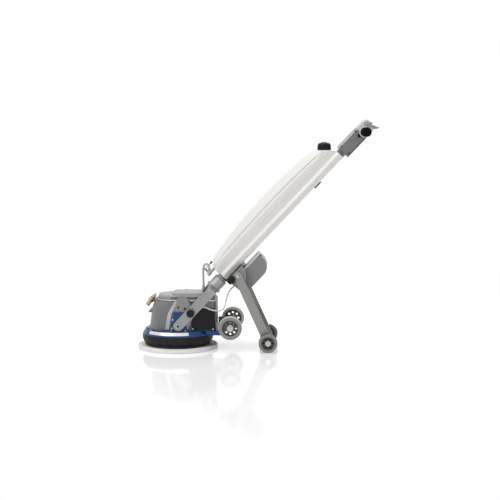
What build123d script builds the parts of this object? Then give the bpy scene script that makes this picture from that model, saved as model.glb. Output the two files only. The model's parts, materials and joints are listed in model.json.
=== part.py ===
from build123d import *
import os
from math import atan2, cos, degrees, hypot, pi, radians, sin, tan

# Single-disc floor machine with a white solution tank on a tilting handle.
# Millimetres. Origin at the centre of the pad on the floor, +X towards the operator, +Z up.
# The operator's left hand is on the -Y side.

# General fits
running_fit = 0.05
pin_fit = 0.5
side_gap = 2.0
small_gap = 0.5
soft_gap = 0.3
bend_share = 0.45

# Pad and drive disc
pad_diameter = 430.0
pad_thickness = 20.0
driver_diameter = 356.0
driver_thickness = 12.0
driver_boss_diameter = 150.0
driver_boss_height = 14.0
driver_edge = 3.0
hub_diameter = 80.0
hub_thickness = 10.0
hub_neck_diameter = 48.0
hub_neck_height = 20.0

# Skirt and base plate
skirt_height = 46.0
skirt_diameter = 382.0
skirt_wall = 14.0
skirt_tuck = 12.0
plate_diameter = 376.0
plate_top_diameter = 352.0
plate_thickness = 14.0
rim_height = 14.0
rim_wall = 18.0
rim_straight = 8.0
tail_length = 262.0
tail_width = 236.0
tail_thickness = 20.0
tail_drop = 4.0
tail_corner = 16.0
bearing_boss_diameter = 96.0
bearing_boss_height = 24.0

# Bearings
output_bearing_outer = 62.0
output_bearing_bore = 30.0
output_bearing_width = 16.0
output_bearing_lip = 4.0
rotor_bearing_outer = 47.0
rotor_bearing_bore = 25.0
rotor_bearing_width = 12.0

# Planetary gear
gear_module = 1.5
sun_teeth = 18
planet_teeth = 36
ring_teeth = 90
planet_count = 3
gear_face = 20.0
addendum_share = 0.8
dedendum_share = 1.25
tooth_root_share = 0.30
tooth_tip_share = 0.12
ring_gear_diameter = 172.0
carrier_diameter = 116.0
carrier_thickness = 8.0
planet_pin_diameter = 12.0
gear_gap = 1.5

# Motor
stator_outer = 200.0
stator_length = 84.0
rotor_diameter = 110.0
air_gap = 1.0
rotor_end_gap = 3.0
bearing_plate_diameter = 208.0
fan_diameter = 170.0
fan_height = 11.0
fan_disc = 3.0
fan_hub_diameter = 44.0
fan_blade_width = 4.0
fan_blades = 9

# Motor casing and cover
casing_bottom_diameter = 308.0
casing_shoulder_diameter = 272.0
casing_shoulder_rise = 119.0
casing_bulge = 5.0
casing_top_diameter = 210.0
casing_height = 166.0
casing_wall = 5.0
casing_half_width = 112.0
casing_rear = 214.0
casing_corner = 22.0
lip_width = 8.0
lip_height = 6.0
roof_chamfer = 14.0
fin_reach = 30.0
fin_height = 40.0
fin_thickness = 18.0
fin_tip_rise = 8.0
fin_top_drop = 47.0
cover_diameter = 206.0
cover_rear = 150.0
cover_half_width = 98.0
cover_height = 20.0
cover_wall = 4.0
cover_corner = 30.0
hump_front = -26.0
hump_half_width = 78.0
hump_height = 13.0
hump_rounding = 9.0
window_front = -28.0
window_rear = 122.0
window_height = 12.0
band_thickness = 4.0
panel_front = 82.0
panel_rear = 206.0
panel_height = 119.0
panel_lift = 2.0
panel_thickness = 4.0
panel_corner = 6.0
nipple_x = 141.0
nipple_diameter = 18.0
nipple_height = 22.0
cable_block_rear = 136.0
cable_block_length = 26.0
cable_block_height = 18.0
cable_block_depth = 30.0
cable_entry_z = 240.0

# Tilt joint
pivot_x = 15.0
pivot_z = 140.0
handle_angle = 46.6
index_radius = 97.0
index_pitch = 22.0
index_count = 3
index_plate_inner = 132.0
index_plate_thickness = 8.0
index_edge = 16.0
ear_top = 300.0
ear_radius = 32.0
ear_set_back = 10.0
bracket_thickness = 8.0
bracket_height = 105.0
bracket_front_foot = -30.0
bracket_rear_foot = 62.0
bracket_front_top = -10.0
bracket_rear_top = 48.0
bracket_foot_depth = 14.0
bracket_foot_height = 5.0
pivot_pin_diameter = 16.0
bolt_head_diameter = 26.0
bolt_head_height = 8.0

# Arms and yoke
arm_width = 52.0
arm_thickness = 10.0
arm_length = 268.0
web_thickness = 12.0
sleeve_diameter = 72.0
sleeve_length = 54.0
collar_diameter = 56.0
collar_length = 20.0
seat_thickness = 5.0
column_diameter = 40.0
column_wall = 3.0

# Lock knobs
knob_diameter = 40.0
knob_height = 22.0
knob_round = 5.0
arm_stem_diameter = 12.0
arm_lock_travel = 8.0
leg_stem_diameter = 10.0
leg_lock_travel = 6.0

# Solution tank
tank_length = 903.0
tank_rear = 21.0
tank_half_width = 100.0
tank_wall = 4.0
tank_low_front = 78.0
tank_low_rise = 33.0
tank_arc_low = 110.0
tank_belly = 143.5
tank_belly_share = 0.535
tank_arc_top_drop = 23.0
tank_arc_top = 122.0
shoulder_drop = 67.0
shoulder_front = 103.0
shoulder_length = 92.0
tank_bevel_depth = 42.0
tank_bevel_width = 45.0
tank_rear_radius = 40.0
channel_gap = 0.6
filler_offset = 37.0
filler_neck_diameter = 58.0
filler_hole_diameter = 50.0
filler_neck_height = 22.0
cap_diameter = 68.0
cap_height = 37.0
cap_top = 5.0
cap_ribs = 24
cap_rib_depth = 1.5

# Outlet tap and hose
tap_front = 67.0
tap_pipe_diameter = 16.0
tap_bore_diameter = 8.0
tap_pipe_length = 36.0
tap_block_diameter = 22.0
tap_block_length = 22.0
tap_stem_diameter = 8.0
tap_stem_length = 18.0
tap_lever_side = 18.0
tap_hub_diameter = 12.0
tap_hub_height = 7.0
tap_rod_diameter = 4.0
tap_rod_length = 44.0
tap_tip_diameter = 8.0
tap_tip_length = 10.0
barb_diameter = 14.0
barb_height = 24.0
hose_diameter = 11.0
hose_rise = 27.0
hose_bow = 3.0
hose_lead = 20.0
hose_spread = 34.0

# Leg bracket, leg and castors
leg_pivot_rise = 63.5
leg_pivot_rear = 46.3
ear_half_width = 122.0
ear_thickness = 6.0
bracket_plate_thickness = 6.0
bracket_plate_gap = 3.0
bracket_plate_rise = 5.0
bracket_plate_length = 114.0
ear_depth = 106.0
ear_slant = 9.0
spine_width = 30.0
leg_axle_x = 493.0
leg_wheel_diameter = 100.0
leg_plate_thickness = 8.0
leg_width = 46.0
leg_head_diameter = 48.0
leg_knob_radius = 36.9
leg_knob_angle = 15.7
leg_knob_lug = 26.0
leg_fold_angle = 100.0
leg_web_start = 225.0
leg_web_end = 340.0
leg_web_thickness = 6.0
leg_window_length = 60.0
leg_window_width = 70.0
leg_window_corner = 15.0
leg_pin_diameter = 16.0
leg_axle_diameter = 16.0
leg_wheel_track = 320.0
leg_wheel_width = 26.0
leg_tyre_thickness = 12.0
leg_hub_dish = 6.0
leg_tyre_round = 5.0

# Capacitor box behind the column
box_rise = 55.0
box_length = 165.0
box_near = 56.0
box_far = 146.0
box_half_width = 75.0
box_wall = 3.0
box_big_corner = 62.0
box_small_corner = 8.0
lid_thickness = 10.0
lid_lip = 2.0
mount_rise = 73.0
mount_half_width = 40.0
box_gland_diameter = 18.0
box_gland_height = 10.0
box_gland_rear = 90.0
box_gland_side = 30.0

# Transport wheels
wheel_diameter = 125.0
wheel_width = 30.0
wheel_x = 293.0
wheel_z = 134.0
wheel_track = 356.0
tyre_thickness = 14.0
hub_web = 12.0
hub_rim = 6.0
hub_holes = 8
hub_hole_diameter = 13.0
axle_diameter = 18.0
axle_collar_diameter = 28.0
axle_cap_length = 5.0
axle_bracket_inner = 100.0
axle_bracket_thickness = 10.0
axle_lug_diameter = 36.0

# Head, handlebar and levers
head_gap = 18.0
head_shell_length = 140.0
head_cap_length = 69.0
head_front = 36.0
head_rear = 39.5
head_half_width = 46.0
head_wall = 4.0
head_corner = 10.0
head_nose_corner = 24.0
column_entry = 32.0
neck_diameter = 48.0
bar_rise = 15.0
bar_rear = 11.0
bar_diameter = 28.0
bar_length = 456.0
grip_diameter = 48.0
grip_length = 136.0
grip_end = 4.0
lever_pin_drop = 15.0
lever_pin_front = 14.0
lever_pin_diameter = 8.0
lever_pin_length = 11.0
lever_hub_diameter = 18.0
lever_plate = 8.0
lever_bar_proud = 3.0
lever_bar_rear = 38.0
lever_bar_diameter = 10.0
lever_bar_end = 196.0
lever_strap = 14.0
button_rear = 6.0
button_diameter = 10.0
button_length = 26.0
button_proud = 11.0
button_flange_diameter = 16.0
button_flange = 5.0
cord_gland_drop = 18.0
cord_gland_rear = 4.0
cord_gland_diameter = 18.0
cord_gland_bore = 9.0
cord_gland_length = 7.0

# Front valve
valve_center_x = -142.0
valve_center_z = 262.0
valve_lean = 51.5
valve_barrel_diameter = 22.0
valve_barrel_length = 40.0
valve_nut_size = 34.0
valve_nut_length = 24.0
valve_stem_diameter = 17.0
valve_stem_length = 29.0
valve_spigot_diameter = 20.0
valve_spigot_drop = 4.0
valve_pin_diameter = 6.0
valve_lever_length = 30.0
valve_lever_width = 9.0
valve_lever_thickness = 8.0

# Motor cable
cable_diameter = 8.0
cable_lead = 25.0
cable_stand_off = 24.0
cable_shelf = 34.0
cable_fall_x = 60.0
cable_fall_z = 45.0
cable_belly = 15.0
cable_dip = 26.0
cable_sag_length = 70.0
cable_sag = 16.0

# Heights that follow from the stack
driver_z = pad_thickness
driver_top = driver_z + driver_thickness
skirt_bottom = driver_top + side_gap
rim_bottom = skirt_bottom + skirt_height
plate_bottom = rim_bottom + rim_height
base_top = plate_bottom + plate_thickness
boss_bottom = plate_bottom - bearing_boss_height
lip_z = base_top + casing_height
carrier_z = base_top + gear_gap
gear_z = carrier_z + carrier_thickness + gear_gap
gear_top = gear_z + gear_face
ring_top = gear_top + side_gap
motor_z = ring_top + rotor_bearing_width
casing_roof = lip_z - rotor_bearing_width
fan_z = lip_z + side_gap + side_gap
cover_step = lip_z + cover_height
cover_top = cover_step + hump_height
hub_z = driver_top + driver_boss_height - hub_thickness
shaft_radius = rotor_bearing_bore / 2 - running_fit
output_radius = output_bearing_bore / 2 - running_fit

# Gear radii
sun_pitch = gear_module * sun_teeth / 2
planet_pitch = gear_module * planet_teeth / 2
ring_pitch = gear_module * ring_teeth / 2
planet_orbit = sun_pitch + planet_pitch
addendum = addendum_share * gear_module
dedendum = dedendum_share * gear_module
tooth_pitch = pi * gear_module
ring_root = ring_pitch + dedendum

# Side stations, measured from the middle plane
bracket_inner = index_plate_inner + index_plate_thickness
bracket_outer = bracket_inner + bracket_thickness
arm_inner = bracket_outer + side_gap
arm_outer = arm_inner + arm_thickness
leg_inner = ear_half_width + side_gap
leg_outer = leg_inner + leg_plate_thickness
leg_wheel_inner = leg_wheel_track / 2 - leg_wheel_width / 2
leg_wheel_outer = leg_wheel_inner + leg_wheel_width
wheel_inner = wheel_track / 2 - wheel_width / 2
wheel_outer = wheel_inner + wheel_width

# Handle directions
along_x = cos(radians(handle_angle))
along_z = sin(radians(handle_angle))
web_start = arm_length - web_thickness
sleeve_end = arm_length + sleeve_length
collar_end = sleeve_end + collar_length
column_radius = column_diameter / 2
tank_start = collar_end + seat_thickness
tank_end = tank_start + tank_length
tank_belly_at = tank_start + tank_belly_share * tank_length
shoulder_at = tank_end - shoulder_drop
tank_arc_top_at = shoulder_at - tank_arc_top_drop
leg_pivot_along = tank_start + leg_pivot_rise
bracket_plate_start = tank_start + bracket_plate_rise
bracket_plate_end = bracket_plate_start + bracket_plate_length
box_start = tank_start + box_rise
box_end = box_start + box_length
mount_start = tank_start + mount_rise
head_start = tank_end + head_gap
head_split = head_start + head_shell_length
head_end = head_split + head_cap_length
bar_along = head_split + bar_rise
lever_pin_along = head_end - lever_pin_drop
lever_bar_along = head_end + lever_bar_proud
cord_gland_along = head_split - cord_gland_drop
column_end = head_start + column_entry


def handle_point(along, front):
    """World X and Z of a point given along the handle and in front of its axis."""
    return (
        pivot_x + along * along_x - front * along_z,
        pivot_z + along * along_z + front * along_x,
    )


def handle_side(y):
    """Plane of the handle's side view at the given Y: x along the handle, y to its front."""
    return Plane(origin=(pivot_x, y, pivot_z), x_dir=(along_x, 0, along_z), z_dir=(0, -1, 0))


def handle_across(along):
    """Plane square to the handle: x to the operator's right, y to the handle's front."""
    x, z = handle_point(along, 0)
    return Plane(origin=(x, 0, z), x_dir=(0, 1, 0), z_dir=(along_x, 0, along_z))


def side_starts(inner, thickness):
    """Distances of the two XZ planes from which a left and a right plate are extruded."""
    return (inner, -(inner + thickness))


def tooth(base_radius, tip_radius):
    """One trapezium tooth along +X, reaching from its base radius to its tip radius."""
    half_base = tooth_root_share * tooth_pitch
    half_tip = tooth_tip_share * tooth_pitch
    return [
        (base_radius, -half_base),
        (tip_radius, -half_tip),
        (tip_radius, half_tip),
        (base_radius, half_base),
    ]


def rounded_path(points):
    """Path of straight runs and tangent arcs as large as the runs beside each corner allow."""
    radii = []
    for before, here, after in zip(points, points[1:], points[2:]):
        run_in = Vector(*here) - Vector(*before)
        run_out = Vector(*after) - Vector(*here)
        turn = radians(run_in.get_angle(run_out))
        radii.append(bend_share * min(run_in.length, run_out.length) / tan(turn / 2))
    print("bend radii", [round(radius, 1) for radius in radii])
    return FilletPolyline(*points, radius=radii)


os.makedirs("parts", exist_ok=True)
pieces = []


def keep(name, label):
    """Label a finished piece and write it out."""
    name.part.label = label
    pieces.append(label)
    export_step(name.part, f"parts/{label}.step")


# Pad and what drives it

with BuildPart() as pad:
    with BuildSketch(Plane.XY):
        Circle(pad_diameter / 2)
    extrude(amount=pad_thickness)
keep(pad, "pad")

with BuildPart() as pad_driver:
    with BuildSketch(Plane.XY.offset(driver_z)):
        Circle(driver_diameter / 2)
    extrude(amount=driver_thickness)
    chamfer(pad_driver.edges().group_by(Axis.Z)[-1], length=driver_edge)
    with BuildSketch(Plane.XY.offset(driver_top)):
        Circle(driver_boss_diameter / 2)
    extrude(amount=driver_boss_height)
    with BuildSketch(Plane.XY.offset(hub_z)):
        Circle(hub_diameter / 2)
    extrude(amount=hub_thickness, mode=Mode.SUBTRACT)
keep(pad_driver, "pad_driver")

with BuildPart() as drive_hub:
    with BuildSketch(Plane.XY.offset(hub_z)):
        Circle(hub_diameter / 2)
        Circle(output_radius, mode=Mode.SUBTRACT)
    extrude(amount=hub_thickness)
    with BuildSketch(Plane.XY.offset(hub_z + hub_thickness)):
        Circle(hub_neck_diameter / 2)
        Circle(output_radius, mode=Mode.SUBTRACT)
    extrude(amount=hub_neck_height)
keep(drive_hub, "drive_hub")

with BuildPart() as planet_carrier:
    with BuildSketch(Plane.XY.offset(carrier_z)):
        Circle(carrier_diameter / 2)
    extrude(amount=carrier_thickness)
    with BuildSketch(Plane.XY.offset(hub_z)):
        Circle(output_radius)
    extrude(amount=carrier_z - hub_z)
    with BuildSketch(Plane.XY.offset(carrier_z + carrier_thickness)):
        with PolarLocations(planet_orbit, planet_count):
            Circle(planet_pin_diameter / 2)
    extrude(amount=gear_top - carrier_z - carrier_thickness)
keep(planet_carrier, "planet_carrier")

planet_root = planet_pitch - dedendum
planet_tip = planet_pitch + addendum
for index in range(planet_count):
    angle = index * 360 / planet_count
    place = Plane.XY.offset(gear_z).rotated((0, 0, angle)).shift_origin(
        (planet_orbit * cos(radians(angle)), planet_orbit * sin(radians(angle)), gear_z)
    )
    with BuildPart() as planet_gear:
        with BuildSketch(place):
            Circle(planet_root)
            with PolarLocations(0, planet_teeth, start_angle=180 / planet_teeth):
                Polygon(*tooth(planet_root - small_gap, planet_tip), align=None)
            Circle(planet_pin_diameter / 2 + running_fit, mode=Mode.SUBTRACT)
        extrude(amount=gear_face)
    keep(planet_gear, f"planet_gear_{index + 1}")

# Motor

with BuildPart() as rotor_shaft:
    with BuildSketch(Plane.XY.offset(gear_z)):
        Circle(sun_pitch - dedendum)
        with PolarLocations(0, sun_teeth):
            Polygon(*tooth(sun_pitch - dedendum - small_gap, sun_pitch + addendum), align=None)
    extrude(amount=gear_face)
    with BuildSketch(Plane.XY.offset(gear_top)):
        Circle(shaft_radius)
    extrude(amount=fan_z + fan_height - gear_top)
keep(rotor_shaft, "rotor_shaft")

with BuildPart() as rotor_core:
    with BuildSketch(Plane.XY.offset(motor_z + rotor_end_gap)):
        Circle(rotor_diameter / 2)
        Circle(shaft_radius, mode=Mode.SUBTRACT)
    extrude(amount=stator_length - 2 * rotor_end_gap)
keep(rotor_core, "rotor_core")

with BuildPart() as cooling_fan:
    with BuildSketch(Plane.XY.offset(fan_z)):
        Circle(fan_diameter / 2)
        Circle(shaft_radius, mode=Mode.SUBTRACT)
    extrude(amount=fan_disc)
    with BuildSketch(Plane.XY.offset(fan_z)):
        Circle(fan_hub_diameter / 2)
        Circle(shaft_radius, mode=Mode.SUBTRACT)
    extrude(amount=fan_height)
    blade_length = fan_diameter / 2 - fan_hub_diameter / 2
    with BuildSketch(Plane.XY.offset(fan_z)):
        with PolarLocations(fan_hub_diameter / 2 + blade_length / 2 - small_gap, fan_blades):
            Rectangle(blade_length, fan_blade_width)
    extrude(amount=fan_height - side_gap)
keep(cooling_fan, "cooling_fan")

with BuildPart() as stator:
    with BuildSketch(Plane.XY.offset(motor_z)):
        Circle(stator_outer / 2)
        Circle(rotor_diameter / 2 + air_gap, mode=Mode.SUBTRACT)
    extrude(amount=stator_length)
keep(stator, "stator")

with BuildPart() as ring_gear:
    with BuildSketch(Plane.XY.offset(base_top)):
        Circle(ring_gear_diameter / 2)
        Circle(ring_root + side_gap, mode=Mode.SUBTRACT)
    extrude(amount=ring_top - base_top)
    with BuildSketch(Plane.XY.offset(gear_z)):
        Circle(ring_gear_diameter / 2)
        Circle(ring_root, mode=Mode.SUBTRACT)
        with PolarLocations(0, ring_teeth):
            Polygon(*tooth(ring_root + small_gap, ring_pitch - addendum), align=None)
    extrude(amount=gear_face)
keep(ring_gear, "ring_gear")

with BuildPart() as bearing_plate:
    with BuildSketch(Plane.XY.offset(ring_top)):
        Circle(bearing_plate_diameter / 2)
        Circle(rotor_bearing_outer / 2, mode=Mode.SUBTRACT)
    extrude(amount=rotor_bearing_width)
keep(bearing_plate, "bearing_plate")

with BuildPart() as bearings:
    with BuildSketch(Plane.XY.offset(boss_bottom + output_bearing_lip)):
        Circle(output_bearing_outer / 2)
        Circle(output_bearing_bore / 2, mode=Mode.SUBTRACT)
    extrude(amount=output_bearing_width)
    for level in (ring_top, casing_roof):
        with BuildSketch(Plane.XY.offset(level)):
            Circle(rotor_bearing_outer / 2)
            Circle(rotor_bearing_bore / 2, mode=Mode.SUBTRACT)
        extrude(amount=rotor_bearing_width)
keep(bearings, "bearings")

# Base plate and skirt

plate_radius = plate_diameter / 2
with BuildPart() as base_plate:
    with BuildSketch(Plane.XZ):
        with BuildLine():
            Polyline(
                (0, plate_bottom),
                (plate_radius - rim_wall, plate_bottom),
                (plate_radius - rim_wall, rim_bottom),
                (plate_radius, rim_bottom),
                (plate_radius, rim_bottom + rim_straight),
                (plate_top_diameter / 2, base_top),
                (0, base_top),
                close=True,
            )
        make_face()
    revolve(axis=Axis.Z)
    tail_root = plate_radius - rim_wall - tail_corner
    with BuildSketch(Plane.XY.offset(base_top - tail_thickness)):
        with Locations(((tail_root + tail_length) / 2, 0)):
            RectangleRounded(tail_length - tail_root, tail_width, tail_corner)
    extrude(amount=tail_thickness)
    with BuildSketch(Plane.XY.offset(base_top - tail_thickness - tail_drop)):
        with Locations(((tail_root + tail_length) / 2, 0)):
            RectangleRounded(tail_length - tail_root, tail_width, tail_corner)
        Circle(skirt_diameter / 2 + side_gap, mode=Mode.SUBTRACT)
    extrude(amount=tail_drop)
    with BuildSketch(Plane.XY.offset(boss_bottom)):
        Circle(bearing_boss_diameter / 2)
    extrude(amount=bearing_boss_height)
    with BuildSketch(Plane.XY.offset(boss_bottom)):
        Circle(output_bearing_outer / 2)
    extrude(amount=output_bearing_width + output_bearing_lip, mode=Mode.SUBTRACT)
    with BuildSketch(Plane.XY.offset(boss_bottom)):
        Circle(output_bearing_bore / 2 + side_gap)
    extrude(amount=base_top - boss_bottom, mode=Mode.SUBTRACT)
keep(base_plate, "base_plate")

skirt_radius = skirt_diameter / 2
with BuildPart() as skirt:
    with BuildSketch(Plane.XZ):
        with BuildLine():
            inner_line = Polyline(
                (skirt_radius - skirt_tuck, skirt_bottom),
                (skirt_radius - skirt_tuck - skirt_wall, skirt_bottom),
                (skirt_radius - side_gap - skirt_wall, rim_bottom),
                (skirt_radius - side_gap, rim_bottom),
            )
            ThreePointArc(
                inner_line @ 1,
                (skirt_radius, skirt_bottom + skirt_height / 2),
                inner_line @ 0,
            )
        make_face()
    revolve(axis=Axis.Z)
keep(skirt, "skirt")

# Motor casing, cover and panels

shoulder_height = base_top + casing_shoulder_rise
wall_slope = (casing_bottom_diameter - casing_shoulder_diameter) / 2 / casing_shoulder_rise
shoulder_slope = (casing_shoulder_diameter - casing_top_diameter) / 2 / (casing_height - casing_shoulder_rise)


def casing_radius(z):
    """Outer radius of the casing at a height: a slow taper below its shoulder, a fast one above."""
    if z < shoulder_height:
        return casing_shoulder_diameter / 2 + wall_slope * (shoulder_height - z)
    return casing_shoulder_diameter / 2 - shoulder_slope * (z - shoulder_height)


with BuildPart() as motor_casing:
    with BuildSketch(Plane.XZ):
        with BuildLine():
            wall_line = Polyline(
                (0, base_top),
                (casing_radius(base_top), base_top),
                (casing_radius(shoulder_height), shoulder_height),
            )
            bulge_height = (shoulder_height + lip_z - lip_height) / 2
            shoulder_line = ThreePointArc(
                wall_line @ 1,
                (casing_radius(bulge_height) + casing_bulge, bulge_height),
                (casing_radius(lip_z - lip_height), lip_z - lip_height),
            )
            Polyline(
                shoulder_line @ 1,
                (casing_radius(lip_z) + lip_width, lip_z - lip_height),
                (casing_radius(lip_z) + lip_width, lip_z),
                (0, lip_z),
                wall_line @ 0,
            )
        make_face()
    revolve(axis=Axis.Z)
    with BuildSketch(Plane.XY.offset(base_top)):
        Rectangle(casing_bottom_diameter + lip_width, 2 * casing_half_width)
    extrude(amount=casing_height, mode=Mode.INTERSECT)
    with BuildSketch(Plane.XY.offset(base_top)):
        with Locations((casing_rear / 2, 0)):
            Rectangle(casing_rear, 2 * casing_half_width)
    extrude(amount=casing_height)
    rear_edges = motor_casing.edges().filter_by(Axis.Z).group_by(Axis.X)[-1]
    fillet(rear_edges, radius=casing_corner)
    with BuildSketch(Plane.XZ):
        with Locations((casing_rear, lip_z)):
            Polygon((-roof_chamfer, side_gap), (side_gap, side_gap), (side_gap, -roof_chamfer), align=None)
    extrude(amount=casing_half_width + side_gap, both=True, mode=Mode.SUBTRACT)
    with BuildSketch(Plane.XZ):
        with Locations((-casing_radius(lip_z - fin_top_drop), lip_z - fin_top_drop)):
            Polygon(
                (casing_wall, 0),
                (-fin_reach + casing_wall, -fin_height + fin_tip_rise),
                (-fin_reach + 2 * casing_wall, -fin_height + casing_wall),
                (casing_wall, -fin_height),
                align=None,
            )
    extrude(amount=fin_thickness / 2, both=True)
    casing_form = motor_casing.part
    with BuildSketch(Plane.XZ):
        with BuildLine():
            Polyline(
                (0, base_top),
                (casing_radius(base_top) - casing_wall, base_top),
                (casing_radius(shoulder_height) - casing_wall, shoulder_height),
                (casing_radius(casing_roof) - casing_wall, casing_roof),
                (0, casing_roof),
                close=True,
            )
        make_face()
    hollow = revolve(axis=Axis.Z, mode=Mode.PRIVATE)
    with BuildSketch(Plane.XY.offset(base_top)):
        Rectangle(casing_bottom_diameter, 2 * (casing_half_width - casing_wall))
    slab = extrude(amount=casing_height, mode=Mode.PRIVATE)
    add(hollow & slab, mode=Mode.SUBTRACT)
    with BuildSketch(Plane.XY.offset(base_top)):
        with Locations(((casing_rear - casing_wall) / 2, 0)):
            Rectangle(casing_rear - casing_wall, 2 * (casing_half_width - casing_wall))
    extrude(amount=casing_roof - base_top, mode=Mode.SUBTRACT)
    with BuildSketch(Plane.XY.offset(casing_roof)):
        Circle(rotor_bearing_outer / 2)
    extrude(amount=rotor_bearing_width, mode=Mode.SUBTRACT)
    with BuildSketch(Plane.XZ.offset(casing_half_width)):
        with Locations((cable_block_rear - cable_block_length / 2, cable_entry_z)):
            RectangleRounded(cable_block_length, cable_block_height, casing_wall)
    extrude(amount=cable_block_depth)
keep(motor_casing, "motor_casing")

with BuildPart() as side_panels:
    panel_middle = ((panel_front + panel_rear) / 2, base_top + panel_lift + panel_height / 2)
    for start in side_starts(casing_half_width, panel_thickness):
        with BuildSketch(Plane.XZ.offset(start)):
            with Locations(panel_middle):
                RectangleRounded(panel_rear - panel_front, panel_height, panel_corner)
        extrude(amount=panel_thickness)
keep(side_panels, "side_panels")


def cover_outline(inset):
    """Round front and square rear of the cover's plan, drawn in by an inset."""
    Circle(cover_diameter / 2 - inset)
    with Locations((cover_rear / 2, 0)):
        RectangleRounded(cover_rear - 2 * inset, 2 * (cover_half_width - inset), cover_corner - inset)


with BuildPart() as motor_cover:
    with BuildSketch(Plane.XY.offset(lip_z)):
        cover_outline(0)
    extrude(amount=cover_height)
    fillet(motor_cover.edges().group_by(Axis.Z)[-1], radius=cover_wall)
    with BuildSketch(Plane.XY.offset(cover_step - cover_wall)):
        with Locations(((hump_front + cover_rear - cover_wall) / 2, 0)):
            RectangleRounded(cover_rear - cover_wall - hump_front, 2 * hump_half_width, cover_corner)
    extrude(amount=hump_height + cover_wall)
    fillet(motor_cover.edges().group_by(Axis.Z)[-1], radius=hump_rounding)
    with BuildSketch(Plane.XY.offset(lip_z)):
        cover_outline(cover_wall)
    extrude(amount=cover_height - cover_wall, mode=Mode.SUBTRACT)
    window_length = window_rear - window_front
    with BuildSketch(Plane.XZ):
        with Locations(((window_front + window_rear) / 2, lip_z + window_height / 2 + side_gap)):
            RectangleRounded(window_length, window_height, window_height / 2 - small_gap)
    extrude(amount=cover_diameter, both=True, mode=Mode.SUBTRACT)
    with BuildSketch(Plane.XY.offset(cover_top - side_gap)):
        with Locations((nipple_x, 0)):
            Circle(nipple_diameter / 2)
    extrude(amount=nipple_height + side_gap)
keep(motor_cover, "motor_cover")

with BuildPart() as vent_band:
    with BuildSketch(Plane.XY.offset(lip_z)):
        cover_outline(cover_wall)
        cover_outline_inner = cover_wall + band_thickness
        Circle(cover_diameter / 2 - cover_outline_inner, mode=Mode.SUBTRACT)
        with Locations((cover_rear / 2, 0)):
            RectangleRounded(
                cover_rear - 2 * cover_outline_inner,
                2 * (cover_half_width - cover_outline_inner),
                cover_corner - cover_outline_inner,
                mode=Mode.SUBTRACT,
            )
    extrude(amount=cover_height - cover_wall)
keep(vent_band, "vent_band")

# Tilt brackets and index plates


def index_point(step):
    """World X and Z of one lock hole, counted upwards from the handle's present angle."""
    angle = radians(handle_angle + step * index_pitch)
    return pivot_x + index_radius * cos(angle), pivot_z + index_radius * sin(angle)


with BuildPart() as tilt_brackets:
    for start in side_starts(bracket_inner, bracket_thickness):
        with BuildSketch(Plane.XZ.offset(start)):
            with BuildLine():
                Polyline(
                    (bracket_front_foot, base_top),
                    (bracket_front_top, base_top + bracket_height),
                    (bracket_rear_top, base_top + bracket_height),
                    (bracket_rear_foot, base_top),
                    close=True,
                )
            make_face()
            with Locations((pivot_x, pivot_z)):
                Circle(pivot_pin_diameter / 2, mode=Mode.SUBTRACT)
        extrude(amount=bracket_thickness)
    foot_middle = (bracket_front_foot + bracket_rear_foot) / 2
    for start in side_starts(bracket_outer - side_gap, bracket_foot_depth + side_gap):
        with BuildSketch(Plane.XZ.offset(start)):
            with Locations((foot_middle, base_top + bracket_foot_height / 2)):
                Rectangle(bracket_rear_foot - bracket_front_foot, bracket_foot_height)
        extrude(amount=bracket_foot_depth + side_gap)
keep(tilt_brackets, "tilt_brackets")

first_hole = index_point(0)
with BuildPart() as index_plates:
    for start in side_starts(index_plate_inner, index_plate_thickness):
        with BuildSketch(Plane.XZ.offset(start)):
            with BuildLine():
                ear_middle = bracket_rear_top - ear_set_back
                ear_shoulder = ear_top - ear_radius
                outline = Polyline(
                    (ear_middle + ear_radius, ear_shoulder),
                    (first_hole[0] + index_edge, first_hole[1] + index_edge),
                    (first_hole[0] + index_edge, first_hole[1] - index_edge),
                    (bracket_rear_foot, base_top + bracket_foot_height),
                    (bracket_front_foot + index_edge, base_top + bracket_foot_height),
                    (bracket_front_top, base_top + bracket_height),
                    (ear_middle - ear_radius, ear_shoulder),
                )
                ThreePointArc(outline @ 1, (ear_middle, ear_top), outline @ 0)
            make_face()
            with Locations((pivot_x, pivot_z)):
                Circle(pivot_pin_diameter / 2, mode=Mode.SUBTRACT)
            with Locations(*[index_point(step) for step in range(index_count)]):
                Circle(arm_stem_diameter / 2 + pin_fit, mode=Mode.SUBTRACT)
        extrude(amount=index_plate_thickness)
keep(index_plates, "index_plates")

with BuildPart() as pivot_bolts:
    bolt_length = arm_outer + small_gap - index_plate_inner
    for start in side_starts(index_plate_inner, bolt_length):
        with BuildSketch(Plane.XZ.offset(start)):
            with Locations((pivot_x, pivot_z)):
                Circle(pivot_pin_diameter / 2)
        extrude(amount=bolt_length)
    for start in side_starts(arm_outer + small_gap, bolt_head_height):
        with BuildSketch(Plane.XZ.offset(start)):
            with Locations((pivot_x, pivot_z)):
                Circle(bolt_head_diameter / 2)
        extrude(amount=bolt_head_height)
keep(pivot_bolts, "pivot_bolts")

# Arms, yoke and column


def handle_starts(inner, thickness):
    """Y of the two side planes from which a left and a right plate of the handle are extruded."""
    return (-inner, inner + thickness)


with BuildPart() as arms:
    for y in handle_starts(arm_inner, arm_thickness):
        with BuildSketch(handle_side(y)):
            Circle(arm_width / 2)
            with Locations((arm_length / 2, 0)):
                Rectangle(arm_length, arm_width)
            Circle(pivot_pin_diameter / 2 + running_fit, mode=Mode.SUBTRACT)
            with Locations((index_radius, 0)):
                Circle(arm_stem_diameter / 2 + running_fit, mode=Mode.SUBTRACT)
        extrude(amount=arm_thickness)
keep(arms, "arms")

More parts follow.
